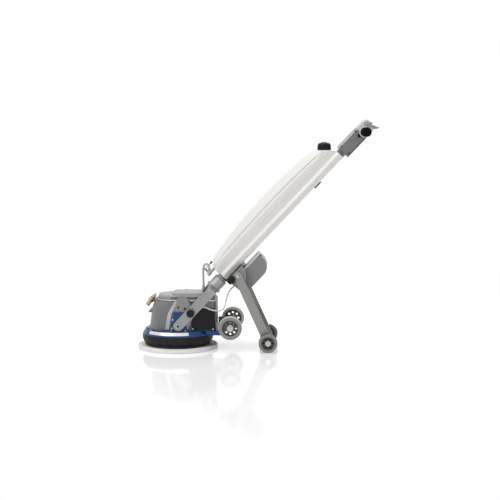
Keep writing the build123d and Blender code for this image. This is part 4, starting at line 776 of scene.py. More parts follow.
def grown(name, builder, spots, finish, body, **values):
    """Runs a geometry tree on (place, facing) spots and keeps its result as a plain piece."""
    tree = group_of(builder.__name__, builder)
    piece = add(name, places(spots))
    grow = piece.modifiers.new("Grow", "NODES")
    grow.node_group = tree
    values["finish"] = FINISHES[finish]
    for item in tree.interface.items_tree:
        if item.in_out == "INPUT" and item.name.lower() in values:
            grow[item.identifier] = values[item.name.lower()]
    shade(fixed(piece).data)
    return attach(piece, body)


def drum(group, sides, radius, height, lift):
    """An upright drum whose foot stands at the given lift."""
    body = put(group, "GeometryNodeMeshCylinder", {"Vertices": sides, "Radius": radius, "Depth": height})
    shift = vector_of(group, {2: scaled(group, height, 0.5, lift)})
    return put(group, "GeometryNodeTransform", {0: body, "Translation": shift})


def joined(group, *parts):
    whole = put(group, "GeometryNodeJoinGeometry")
    for part in parts:
        fill(group, whole.inputs, {0: part})
    return whole


def sunk(group, mesh, top, share, depth):
    """Presses a recess into the face that lies on top of a drum."""
    where = apart(group, put(group, "GeometryNodeInputPosition"))
    high = put(group, "FunctionNodeCompare", {0: where["Z"], 1: math(group, "SUBTRACT", top, 0.00002)},
               data_type="FLOAT", operation="GREATER_THAN")
    rim = put(group, "GeometryNodeExtrudeMesh", {"Mesh": mesh, "Selection": high, "Offset Scale": 0.0}, mode="FACES")
    drawn = put(group, "GeometryNodeScaleElements", {0: rim, "Selection": rim.outputs["Top"], "Scale": share})
    return put(group, "GeometryNodeExtrudeMesh", {
        "Mesh": drawn, "Selection": rim.outputs["Top"], "Offset Scale": math(group, "MULTIPLY", depth, -1.0)},
        mode="FACES")


def hex_bolt(name):
    """Bolts with a round washer and a six-sided head."""
    group, given, result = new_tree(name, [
        ("Head", FLOAT, 0.0055), ("Height", FLOAT, 0.004), ("Washer", FLOAT, 0.0085)])
    thick = 0.0011
    washer = drum(group, 24, given["Washer"], thick, 0.0)
    head = drum(group, 6, given["Head"], given["Height"], thick)
    crown = drum(group, 18, math(group, "MULTIPLY", given["Head"], 0.78), 0.0007,
                 math(group, "ADD", given["Height"], thick))
    return end_tree(group, given, result, joined(group, washer, head, crown))


def socket_screw(name):
    """Round-headed screws with a six-sided socket."""
    group, given, result = new_tree(name, [("Head", FLOAT, 0.0042), ("Height", FLOAT, 0.0026)])
    low, rise, deep = [math(group, "MULTIPLY", given["Height"], share) for share in (0.6, 0.4, 0.35)]
    foot = drum(group, 18, given["Head"], low, 0.0)
    crown = drum(group, 18, math(group, "MULTIPLY", given["Head"], 0.84), rise, low)
    return end_tree(group, given, result, joined(group, foot, sunk(group, crown, given["Height"], 0.55, deep)))


def rib_ring(name):
    """Upright ribs round a circle, for knobs and caps; the points give the middle and the axis."""
    group, given, result = new_tree(name, [
        ("Count", COUNT, 20), ("Circle", FLOAT, 0.02), ("Rib", FLOAT, 0.0014), ("Length", FLOAT, 0.016),
        ("Lift", FLOAT, 0.003)])
    round_it = put(group, "GeometryNodeMeshCircle", {"Vertices": given["Count"], "Radius": given["Circle"]})
    rib = drum(group, 8, given["Rib"], given["Length"], given["Lift"])
    ring = put(group, "GeometryNodeInstanceOnPoints", {"Points": round_it, "Instance": rib})
    return end_tree(group, given, result, ring)


def ring_row(name):
    """Rounded rings in a row along the facing of each point, for grips."""
    group, given, result = new_tree(name, [
        ("Count", COUNT, 12), ("Pitch", FLOAT, 0.008), ("Circle", FLOAT, 0.024), ("Bead", FLOAT, 0.0016)])
    loop = put(group, "GeometryNodeCurvePrimitiveCircle", {"Resolution": 48, "Radius": given["Circle"]})
    bead = put(group, "GeometryNodeCurvePrimitiveCircle", {"Resolution": 8, "Radius": given["Bead"]})
    ring = put(group, "GeometryNodeCurveToMesh", {0: loop, 1: bead})
    row = put(group, "GeometryNodeMeshLine", {
        "Count": given["Count"], "Offset": vector_of(group, {2: given["Pitch"]})})
    rings = put(group, "GeometryNodeInstanceOnPoints", {"Points": row, "Instance": ring})
    return end_tree(group, given, result, rings)


def slat_row(name):
    """Slats in a row, for vents; the points give the middle of each row."""
    group, given, result = new_tree(name, [
        ("Count", COUNT, 13), ("Run", FLOAT, 0.15), ("Width", FLOAT, 0.0026), ("Height", FLOAT, 0.012),
        ("Depth", FLOAT, 0.004)])
    size = vector_of(group, {0: given["Width"], 1: given["Height"], 2: given["Depth"]})
    slat = put(group, "GeometryNodeMeshCube", {"Size": size})
    half = math(group, "MULTIPLY", given["Run"], 0.5)
    first = vector_of(group, {0: math(group, "MULTIPLY", half, -1.0)})
    row = put(group, "GeometryNodeMeshLine", {
        "Count": given["Count"], "Start Location": first, "Offset": vector_of(group, {0: half})},
        mode="END_POINTS")
    slats = put(group, "GeometryNodeInstanceOnPoints", {"Points": row, "Instance": slat})
    return end_tree(group, given, result, slats)


def fibre_rim(name):
    """Short loose fibres that stand out all round the wall of a disc."""
    group, given, result = new_tree(name, [
        ("Count", COUNT, 2600), ("Circle", FLOAT, 0.2145), ("Low", FLOAT, 0.005), ("High", FLOAT, 0.018),
        ("Length", FLOAT, 0.004), ("Thick", FLOAT, 0.0004), ("Seed", COUNT, 7)])
    round_it = put(group, "GeometryNodeMeshCircle", {"Vertices": given["Count"], "Radius": given["Circle"]})
    rise = put(group, "FunctionNodeRandomValue", {2: given["Low"], 3: given["High"], "Seed": given["Seed"]},
               data_type="FLOAT")
    lift = vector_of(group, {2: rise.outputs[1]})
    spots = put(group, "GeometryNodeSetPosition", {0: round_it, "Offset": lift})
    away = put(group, "ShaderNodeVectorMath", {0: put(group, "GeometryNodeInputPosition"), 1: (4.0, 4.0, 0.0)},
               operation="MULTIPLY")
    stray = put(group, "FunctionNodeRandomValue", {
        0: (-0.8, -0.8, -0.8), 1: (0.8, 0.8, 0.8), "Seed": given["Seed"]}, data_type="FLOAT_VECTOR")
    way = put(group, "ShaderNodeVectorMath", {0: away, 1: stray}, operation="ADD")
    turn = put(group, "FunctionNodeAlignRotationToVector", {"Vector": way}, axis="Z")
    fibre = put(group, "GeometryNodeMeshCone", {
        "Vertices": 3, "Radius Top": math(group, "MULTIPLY", given["Thick"], 0.3),
        "Radius Bottom": given["Thick"], "Depth": given["Length"]})
    rim = put(group, "GeometryNodeInstanceOnPoints", {"Points": spots, "Instance": fibre, "Rotation": turn})
    return end_tree(group, given, result, rim)


# Operators


class MACHINE_OT_solids(bpy.types.Operator):
    """Give every solid its finish, with rounded copies where its edges show"""

    bl_idname = "machine.solids"
    bl_label = "Finish solids"

    def execute(self, context):
        for node, (finish, share) in SOLIDS.items():
            solid = frame["nodes"][node]
            solid.data.materials.clear()
            solid.data.materials.append(FINISHES[finish])
            if share:
                dressed(node, finish, share)
        return {"FINISHED"}


class MACHINE_OT_tank(bpy.types.Operator):
    """Mould the tank as one closed skin, with its creased sides, column channel and filler neck"""

    bl_idname = "machine.tank"
    bl_label = "Mould tank"

    # Along the column: the tank's foot, where its face is full, its belly, where the face falls back, its shoulder
    START, FULL, BELLY, FALL, SHOULDER = 0.347, 0.380, 0.830, 1.160, 1.183
    # How far the face stands in front of the column's axis at these places
    START_FRONT, FULL_FRONT, BELLY_FRONT, FALL_FRONT, SHOULDER_FRONT = 0.078, 0.110, 0.1435, 0.122, 0.103
    REAR, HALF, CHANNEL = 0.021, 0.100, 0.0206
    CREASE, CREASE_FRONT, FAINT = 0.850, 0.0985, 0.0008
    # The part behind the shoulder: how far forward it reaches, its height along the column and its fall
    RIDGE_FRONT, RIDGE, RIDGE_FALL = 0.0362, 1.2462, 0.0038
    LEVEL_FRONT = 0.036  # where the level shoulder begins
    RIM_ROUND, RIM_START = 0.0045, 0.012
    NECK, NECK_OUT, NECK_IN, NECK_HEIGHT, NECK_DEPTH, NECK_STEPS = 0.790, 0.029, 0.025, 0.022, 0.040, 48
    STRAP = 1.050

    def front(self, along):
        """How far the tank's face stands in front of the column's axis."""
        if along < self.FULL:
            share = (along - self.START) / (self.FULL - self.START)
            return self.START_FRONT + share * (self.FULL_FRONT - self.START_FRONT)
        if along > self.FALL:
            share = (along - self.FALL) / (self.SHOULDER - self.FALL)
            return self.FALL_FRONT - share * (self.FALL_FRONT - self.SHOULDER_FRONT)
        low = Vector((self.FULL, self.FULL_FRONT))
        top = Vector((self.FALL, self.FALL_FRONT))
        belly = Vector((self.BELLY, self.BELLY_FRONT))
        share = (along - low.x) / (top.x - low.x)
        middle = (belly.x - low.x) / (top.x - low.x)
        chord = low.y + (top.y - low.y) * share
        rise = belly.y - (low.y + (top.y - low.y) * middle)
        return chord + rise * share * (1 - share) / (middle * (1 - middle))

    def crease(self, along):
        """How far in front of the axis the crease runs along the sides."""
        bow = 0.069 if along < self.CREASE else 0.130
        return min(self.CREASE_FRONT - bow * (along - self.CREASE) ** 2, self.front(along) - 0.018)

    def section(self, along, inset, depth):
        """Outline across the tank, drawn in by an inset, from the channel's right lip round to its left."""
        face = self.front(along) - inset
        half = self.HALF - inset
        crease = self.crease(along) - inset * 0.6
        scale = min(1.0, crease / 0.080)
        soft = sizes().tank_round - inset
        right = [
            (self.CHANNEL, -self.REAR + inset, 0.003),
            (0.074 - inset, -self.REAR + inset, 0.020),
            (half - 0.0035, 0.008 * scale, 0.008 * scale),
            (half - 0.0150, 0.027 * scale, 0.011 * scale),
            (half - 0.0020, 0.062 * scale, 0.040 * scale),
            (half, crease - depth * 1.6, depth * 0.8),
            (half - depth, crease - depth * 0.35, depth * 0.12),
            (half - depth * 0.30, crease + depth * 0.65, depth * 0.25),
            (0.055 - inset * 0.4, face, soft + 0.006),
            (0.0, face + 0.0015, 0.0),
        ]
        left = [(-x, y, r) for x, y, r in reversed(right[:-1])]
        channel = [(self.CHANNEL * cos(a), self.CHANNEL * sin(a), 0.0) for a in [pi - pi * k / 8 for k in range(9)]]
        return rounded(right + left + channel, 6)

    def top_along(self, front, fall=0.0):
        """Where the tank's upper end lies for a distance in front of the axis."""
        if front > self.RIDGE_FRONT:
            return self.SHOULDER + (self.SHOULDER_FRONT - front) / sin(LEAN) * cos(LEAN) - fall
        share = (self.RIDGE_FRONT - front) / (self.RIDGE_FRONT + self.REAR)
        return self.RIDGE + share * self.RIDGE_FALL - fall

    def ring(self, shape, along, inset, depth, top=0.0):
        """One ring of the skin. Near the upper end it tilts to follow the shoulder."""
        made = []
        for p in self.section(along, inset, depth):
            reach = along + (self.top_along(p.y) - along) * top if top else along
            made.append(shape.verts.new(on_handle(reach, p.y, p.x)))
        return made

    def rim(self, shape, angle):
        """A ring of the rounded upper rim."""
        inset = self.RIM_ROUND * (1 - cos(angle))
        fall = self.RIM_ROUND * (1 - sin(angle)) * 0.6
        return [shape.verts.new(on_handle(self.top_along(p.y, fall), p.y, p.x))
                for p in self.section(self.SHOULDER, inset, self.FAINT)]

    def execute(self, context):
        shape = bmesh.new()
        depth = sizes().crease_depth
        soft = sizes().tank_round
        low, high, count = self.START + soft, self.SHOULDER - self.RIM_START, 48
        rings = [self.ring(shape, self.START + soft * (1 - sin(a)), soft * (1 - cos(a)) * 0.9, self.FAINT)
                 for a in quarter(4)]
        rings.reverse()
        for k in range(1, count + 1):
            along = low + (high - low) * k / count
            fade = min(1.0, (along - self.START) / 0.12, (self.SHOULDER - along) / 0.035)
            rings.append(self.ring(shape, along, 0.0, max(self.FAINT, depth * fade)))
        rings += [self.ring(shape, high, 0.0, self.FAINT, share) for share in (0.35, 0.7, 0.9)]
        rings += [self.rim(shape, a) for a in quarter(4, 1)]
        join_all(shape, rings)
        shape.faces.new(list(reversed(rings[0])))
        self.close_top(shape, rings[-1])
        bmesh.ops.remove_doubles(shape, verts=shape.verts, dist=1e-5)
        settle("tank_skin", closed_up(shape), "tank", "handle", ["tank"], 26)
        self.strap()
        return {"FINISHED"}

    def close_top(self, shape, ring):
        """Closes the upper end: the level shoulder round the filler neck, and the part behind it."""
        behind = [i for i, v in enumerate(ring) if handle_front(v.co) <= self.LEVEL_FRONT]
        ahead = [v for i, v in enumerate(ring) if i not in behind]
        gap = next(i for i, b in enumerate(behind) if b + 1 not in behind)
        back = [ring[i] for i in behind[gap + 1:] + behind[:gap + 1]]
        shape.faces.new(back + [ahead[0], ahead[-1]])
        level = on_handle(self.SHOULDER, self.SHOULDER_FRONT).z
        where = Matrix.Translation((self.NECK, 0, level))
        out, within, top = self.NECK_OUT, self.NECK_IN, self.NECK_HEIGHT
        bead, edge = out + 0.0012, 0.001
        neck = [ring_of(shape, circle(radius, self.NECK_STEPS), height, where) for radius, height in (
            (out, 0.0), (out, 0.004), (bead, 0.006), (out, 0.008), (out, 0.011), (bead, 0.013), (out, 0.015),
            (out, top - edge), (out - edge, top), (within + edge, top), (within, top - edge),
            (within, -self.NECK_DEPTH))]
        edges = [shape.edges.new((a, b)) for a, b in zip(neck[0], neck[0][1:] + neck[0][:1])]
        for a, b in zip(ahead, ahead[1:] + ahead[:1]):
            edges.append(shape.edges.get((a, b)) or shape.edges.new((a, b)))
        bmesh.ops.triangle_fill(shape, edges=edges, use_beauty=True, use_dissolve=False)
        join_all(shape, neck)
        shape.faces.new(neck[-1])

    def strap(self):
        """Black strap across the channel that holds the tank to the column."""
        where = turned(on_handle(self.STRAP, -self.REAR), ALONG, -FRONT)
        shape = slab(rectangle(-0.024, -0.034, 0.024, 0.034, 0.006), 0.0002, 0.0088, where, 0.0016)
        settle("tank_strap", shape, "black", "handle")
        spots = [(on_handle(self.STRAP, -self.REAR - 0.0087, y), -FRONT) for y in (-0.027, 0.027)]
        grown("tank_strap_screws", socket_screw, spots, "zinc", "handle", head=0.0036, height=0.0016)


class MACHINE_OT_cords(bpy.types.Operator):
    """Run the solution hose and the motor cable, with the bands that hold their ends"""

    bl_idname = "machine.cords"
    bl_label = "Run hose and cable"

    HOSE = [(0.17245, 0, 0.4283), (0.17245, 0, 0.4553), (0.1380, 0, 0.4553), (0.1410, 0, 0.3493), (0.1410, 0, 0.3293)]
    CABLE = [(0.34952, -0.030, 0.36276), (0.33235, -0.030, 0.34459), (0.29835, -0.038, 0.33659),
             (0.27235, -0.083, 0.29959), (0.25900, -0.136, 0.2165), (0.18735, -0.136, 0.2235),
             (0.1613, -0.136, 0.240), (0.1363, -0.136, 0.240)]
    TAP_BAND, COVER_BAND = (0.17245, 0, 0.4350), (0.1410, 0, 0.3355)

    def line(self, name, route):
        """Points along the smooth line that a route gives."""
        curve = bpy.data.curves.new(name, "CURVE")
        curve.dimensions = "3D"
        spline = curve.splines.new("NURBS")
        spline.points.add(len(route) - 1)
        for point, place in zip(spline.points, route):
            point.co = (*place, 1.0)
        spline.order_u = 3
        spline.use_endpoint_u = True
        spline.resolution_u = 16
        holder = add(name, curve)
        mesh = evaluated(holder)
        points = [v.co.copy() for v in mesh.vertices]
        bpy.data.objects.remove(holder)
        bpy.data.curves.remove(curve)
        bpy.data.meshes.remove(mesh)
        return points

    def tube(self, name, points, radius, finish, steps=20):
        """A closed round tube along the points, with a map round and along it."""
        shape = bmesh.new()
        layer = shape.loops.layers.uv.new("Along")
        side = (points[1] - points[0]).orthogonal().normalized()
        rings, run = [], [0.0]
        for i, point in enumerate(points):
            ahead = (points[min(i + 1, len(points) - 1)] - points[max(i - 1, 0)]).normalized()
            side = (side - ahead * side.dot(ahead)).normalized()
            over = ahead.cross(side)
            rings.append([shape.verts.new(point + (side * x + over * y) * radius) for x, y in circle(1.0, steps)])
            if i:
                run.append(run[-1] + (point - points[i - 1]).length)
        for i, (low, high) in enumerate(zip(rings, rings[1:])):
            for k in range(steps):
                j = (k + 1) % steps
                face = shape.faces.new((low[k], low[j], high[j], high[k]))
                for loop, (u, v) in zip(face.loops, ((k, i), (k + 1, i), (k + 1, i + 1), (k, i + 1))):
                    loop[layer].uv = (u / steps, run[v])
        shape.faces.new(list(reversed(rings[0])))
        shape.faces.new(rings[-1])
        return settle(name, closed_up(shape), finish, None), run[-1]

    def band(self, name, point, body):
        """A worm-drive band round an upright hose end, with its screw housing."""
        radius = sizes().hose_diameter / 2
        point = Vector(point)
        ring = lathe([(radius, -0.004), (radius + 0.0009, -0.0036), (radius + 0.0009, 0.0036), (radius, 0.004)],
                     40, False, turned(point, -SIDE, UP))
        house = slab(rectangle(-0.0045, -0.0038, 0.0045, 0.0038, 0.001, 3), 0.0, 0.0036,
                     turned(point - SIDE * (radius + 0.0004), UP, -SIDE), 0.0008)
        screw = lathe([(0.0, -0.0075), (0.0026, -0.0075), (0.003, -0.0070), (0.003, -0.0045), (0.0018, -0.0042),
                       (0.0018, 0.005), (0.0, 0.005)], 18, False,
                      turned(point - SIDE * (radius + 0.0022), UP, UP.cross(-SIDE)))
        settle(name, merged(ring, house, screw), "zinc", body)

    def execute(self, context):
        for name, node, route, width, finish, slot in (
            ("solution_hose_line", "solution_hose", self.HOSE, sizes().hose_diameter, "hose", "hose_grey"),
            ("motor_cable_line", "motor_cable", self.CABLE, sizes().cable_diameter, "cable", "cable_grey"),
        ):
            points = self.line(name, route)
            piece, found = self.tube(name, points, width / 2, finish)
            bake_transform(piece)
            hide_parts(node)
        self.band("hose_band_tap", self.TAP_BAND, "handle")
        self.band("hose_band_cover", self.COVER_BAND, "chassis")
        return {"FINISHED"}


class MACHINE_OT_wheels(bpy.types.Operator):
    """Build the two transport wheels and the two castors of the leg, each with tyre, rim and drilled web"""

    bl_idname = "machine.wheels"
    bl_label = "Build wheels"

    # Radii from the inside out, then half the width and what is special to the part
    TRANSPORT = {
        "tyre": (0.0484, 0.0625, 0.0150, 0.0070, (0.0042, -0.0042)), "rim": (0.0420, 0.0485, 0.0146),
        "web": (0.0120, 0.0424, 0.0060, 8, 0.0303, 0.0065), "boss": (0.0091, 0.0180, 0.0149),
        "cover": (0.0425, 0.0602, 0.0146),
    }
    CASTOR = {
        "tyre": (0.0378, 0.0500, 0.0130, 0.0050, (0.0038, -0.0038)), "rim": (0.0318, 0.0380, 0.0122),
        "web": (0.0110, 0.0322, 0.0065, 6, 0.0238, 0.0056), "boss": (0.0081, 0.0158, 0.0129),
        "cover": (0.0375, 0.0470, 0.0126),
    }

    def tyre(self, inner, outer, half, corner, grooves):
        """Profile of a tyre: grooved tread, rounded shoulders and a moulded line on each wall."""
        wall = outer - corner
        line = inner + (wall - inner) * 0.45
        side = [(inner, half), (line - 0.0010, half), (line - 0.0005, half - 0.0007), (line + 0.0005, half - 0.0007),
                (line + 0.0010, half), (wall, half)]
        side += [(wall + corner * sin(a), half - corner + corner * cos(a)) for a in quarter(6, 1)]
        tread = []
        for middle in grooves:
            tread += [(outer, middle + 0.0012), (outer - 0.0010, middle + 0.0007), (outer - 0.0010, middle - 0.0007),
                      (outer, middle - 0.0012)]
        low = [(radius, -height) for radius, height in reversed(side)]
        return side + tread + low

    def ring(self, inner, outer, half, edge):
        """Profile of a plain ring with its edges broken."""
        return [(inner, half - edge), (inner + edge, half), (outer - edge, half), (outer, half - edge),
                (outer, edge - half), (outer - edge, -half), (inner + edge, -half), (inner, edge - half)]

    def cover(self, inner, outer, half):
        """Profile of the thin cheek that lies on a tyre's outer wall."""
        return [(inner, half), (inner, half + 0.0006), (inner + 0.0008, half + 0.0012),
                (outer - 0.0016, half + 0.0012), (outer, half)]

    def drilled(self, inner, outer, half, holes, orbit, size, where):
        """A flat web with round holes."""
        loops = [circle(outer, 64), circle(inner, 32)]
        loops += [circle(size, 20, x, y) for x, y in circle(orbit, holes)]
        return plate(loops, -half, half, where)

    def build(self, name, body, where, parts, nodes, rubber, shade_backed):
        """One wheel: every part turned on the same axle, the first of them standing for the solids."""
        settle(name + "_tread", lathe(self.tyre(*parts["tyre"]), 72, True, where), rubber, body, nodes, 40)
        settle(name + "_rim", lathe(self.ring(*parts["rim"], 0.0008), 72, True, where), "rim", body)
        piece = settle(name + "_web", self.drilled(*parts["web"], where), "web", None)
        softened(piece, 0.0008)
        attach(piece, body)
        settle(name + "_cover", lathe(self.cover(*parts["cover"]), 72, True, where), "cheek", body, (), 40)
        # Castors get a very dark ring inside their web: painted shade that shows through the web's holes.
        if shade_backed:
            inner, outer = parts["web"][0] + 0.0005, parts["web"][1] - 0.0005
            shade_ring = lathe(self.ring(inner, outer, 0.0022, 0.0004), 48, True, where)
            settle(name + "_shade_ring", shade_ring, "vent", body)
        settle(name + "_boss", lathe(self.ring(*parts["boss"], 0.0012), 48, True, where), "zinc", body)

    def execute(self, context):
        for side, y in SIDES.items():
            x, height = TRANSPORT_AXIS
            self.build(f"transport_{side}", f"transport_wheel_{side}", outward(x, 0.178, height, y), self.TRANSPORT,
                       [f"transport_tyre_{side}", f"transport_hub_{side}"], "tyre", False)
            x, height = CASTOR_AXIS
            self.build(f"castor_{side}", f"leg_wheel_{side}", outward(x, 0.160, height, y), self.CASTOR,
                       [f"leg_wheel_{side}"], "castor", True)
        return {"FINISHED"}


class MACHINE_OT_hand_parts(bpy.types.Operator):
    """Rib the locking knobs, the filler cap and the hand grips"""

    bl_idname = "machine.hand_parts"
    bl_label = "Rib knobs, cap and grips"

    BAR = (1.423, -0.011)
    # Each pair of knobs: how far behind, how far to the side and how high the knob's foot lies
    KNOBS = {"arm_knob": (0.0816, 0.1685, 0.2105), "leg_knob": (0.2990, 0.1385, 0.3875)}

    def knobs(self):
        """Ribs round each knob and a turned button in its face."""
        profile = [(0.0, 0.0226), (0.0088, 0.0226), (0.0094, 0.0221), (0.0094, 0.0208), (0.0, 0.0208)]
        for name, (x, foot, height) in self.KNOBS.items():
            for side, y in SIDES.items():
                body = f"{name}_{side}"
                grown(body + "_ribs", rib_ring, [((x, y * foot, height), SIDE * y)], "black", body,
                      count=sizes().knob_ribs, circle=0.0194, rib=0.0017, length=0.0155, lift=0.0010)
                button = lathe(profile, 36, False, outward(x, foot, height, y))
                settle(body + "_button", button, "panel", body)

    def cap(self):
        """The filler cap: ribbed skirt, rounded shoulder and a crowned top."""
        low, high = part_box("filler_cap")
        foot = Vector(((low[0] + high[0]) / 2, 0, low[2]))
        profile = [(0.0, 0.0325), (0.0296, 0.0325), (0.0296, 0.0004), (0.0300, 0.0), (0.0362, 0.0), (0.0368, 0.0006),
                   (0.0368, 0.0048), (0.0350, 0.0058), (0.0346, 0.0240)]
        profile += [(0.0246 + 0.0100 * cos(a), 0.0268 + 0.0104 * sin(a)) for a in quarter(8)]
        profile += [(0.0205, 0.0392), (0.0196, 0.0388), (0.0188, 0.0392), (0.0100, 0.0420), (0.0, 0.0430)]
        shell = lathe(profile, 80, False, Matrix.Translation(foot))
        settle("filler_cap_shell", shell, "black", "filler_cap", ["filler_cap"], 40)
        grown("filler_cap_ribs", rib_ring, [(foot, UP)], "black", "filler_cap",
              count=sizes().cap_ribs, circle=0.0342, rib=0.0019, length=0.0205, lift=0.0046)

    def grips(self):
        """Moulded rings on both grips, a ring in their outer ends, and the clamps of the bar beside the head."""
        middle = on_handle(*self.BAR)
        grown("grip_rings", ring_row, [(middle + SIDE * y * 0.104, SIDE * y) for y in BOTH], "grip", "handle",
              count=sizes().grip_rings, pitch=0.0082, circle=0.0236, bead=0.0016)
        eye = [(0.0080, 0.1395), (0.0080, 0.1408), (0.0090, 0.1412), (0.0108, 0.1412), (0.0118, 0.1408),
               (0.0118, 0.1395)]
        clamp = [(0.0141, -0.0340), (0.0270, -0.0340), (0.0285, -0.0325), (0.0285, -0.0270), (0.0272, -0.0262),
                 (0.0272, -0.0238), (0.0285, -0.0230), (0.0285, -0.0175), (0.0262, -0.0150), (0.0141, -0.0146)]
        ends = [turned(middle + SIDE * y * 0.092, ALONG, SIDE * y) for y in BOTH]
        eyes = [lathe(eye, 40, True, where) for where in ends]
        clamps = [lathe(clamp, 56, True, where) for where in ends]
        settle("grip_ends", merged(*eyes), "grip", "handle")
        settle("bar_rings", merged(*clamps), "pale", "handle")

    def execute(self, context):
        self.knobs()
        self.cap()
        self.grips()
        return {"FINISHED"}


class MACHINE_OT_trim(bpy.types.Operator):
    """Add the vent slats, the pale metal strips on the base's rim, pale strips of painted highlight on the casing's
    lip and cheeks, the skirt's beads, painted highlight and shade bands on the head's edges, and pad fibres
    """

    bl_idname = "machine.trim"
    bl_label = "Add slats and strips"

    CHEEK = 0.1116  # half the casing's width over its flat cheeks
    HEAD_HALF, HEAD_START, HEAD_END = 0.0450, 1.2690, 1.4070

    def strip(self, first, last, profile, count=40):
        """A closed strip that follows the round base or casing, from one angle to another."""
        shape = bmesh.new()
        rings = []
        for k in range(count + 1):
            angle = radians(first + (last - first) * k / count)
            rings.append([shape.verts.new((radius * cos(angle), radius * sin(angle), height))
                          for radius, height in profile])
        join_all(shape, rings)
        shape.faces.new(rings[0])
        shape.faces.new(list(reversed(rings[-1])))
        return closed_up(shape)

    def execute(self, context):
        slope = [(0.1866, 0.0905), (0.1875, 0.0912), (0.1781, 0.1066), (0.1770, 0.1067), (0.1772, 0.1050)]
        strips = [self.strip(first, last, slope) for first, last in ((-141, -67), (67, 141))]
        settle("rim_strips", merged(*strips), "bare_and_highlight", "chassis")
        grown("vent_slats", slat_row, [((0.047, y * 0.0962, 0.282), SIDE * y) for y in BOTH], "cover", "chassis",
              count=sizes().vent_slats, run=0.132, width=0.0032, height=0.0126, depth=0.0034)
        grown("rear_slats", slat_row, [((0.2138, 0, 0.186), BACK)], "panel", "chassis",
              count=8, run=0.084, width=0.0046, height=0.130, depth=0.0026)
        self.lip()
        self.cheek_highlight_strips()
        self.beads()
        self.head_edges()
        grown("pad_fibres", fibre_rim, [((0, 0, 0), UP)], "fibre", "drive",
              count=sizes().pad_fibres, circle=0.2142, low=0.0050, high=0.0175)
        return {"FINISHED"}

    def lip(self):
        """A pale line along the casing's upper rim, a painted highlight where the rounded rim catches the light:
        round its front and straight along its sides.
        """
        profile = [(0.1120, 0.2684), (0.1136, 0.2690), (0.1140, 0.2700), (0.1140, 0.2720), (0.1136, 0.2730),
                   (0.1120, 0.2736)]
        straight = rectangle(-0.015, -0.0024, 0.205, 0.0024, 0.0012)
        sides = [slab(straight, 0.0, 0.0016, outward(0, self.CHEEK + 0.0002, 0.271, y), 0.0005) for y in BOTH]
        settle("casing_lip_highlight", merged(self.strip(99, 261, profile), *sides), "bare_and_highlight", "chassis")

    def cheek_highlight_strips(self):
        """A pale curved strip on each flat cheek of the casing, where its round front ends: a painted highlight for
        the light that the rounded edge there catches.
        """
        edge = [(-0.0590, 0.1120, 0), (-0.0440, 0.2000, 0.09), (-0.0080, 0.2640, 0), (0.0110, 0.2640, 0),
                (-0.0220, 0.2000, 0.09), (-0.0380, 0.1120, 0)]
        edges = [slab(rounded([(x, -y * z, r) for x, z, r in edge], 8), 0.0, 0.0046,
                      outward(0, self.CHEEK, 0, y), 0.0022) for y in BOTH]
        settle("cheek_highlight_strips", merged(*edges), "lid", "chassis")

    def beads(self):
        """Two raised beads round the rubber skirt."""
        bead = [(0.1900, -0.0022), (0.1917, -0.0014), (0.1922, 0.0), (0.1917, 0.0014), (0.1900, 0.0022)]
        rings = [lathe([(radius, z + lift) for radius, lift in bead], 96, True) for z in (0.0600, 0.0735)]
        settle("skirt_beads", merged(*rings), "panel", "chassis")

    def head_edges(self):
        """A pale band along the head's front edges, a painted highlight on their rounding, and a dark band along its
        rear edges, painted shade, on both sides.
        """
        for name, low, high, finish, slot in (("head_front_highlight_bands", 0.0262, 0.0362, "pale", "head_pale"),
                                              ("head_rear_shade_bands", -0.0397, -0.0362, "vent", "black_plastic")):
            bands = []
            for y in BOTH:
                where = turned(on_handle(0, 0, y * self.HEAD_HALF), ALONG, SIDE * y)
                first, last = sorted((-y * low, -y * high))
                bands.append(slab(rectangle(self.HEAD_START, first, self.HEAD_END, last, 0.001, 3),
                                  0.0, 0.0016, where, 0.0004))
            settle(name, merged(*bands), finish, "handle")


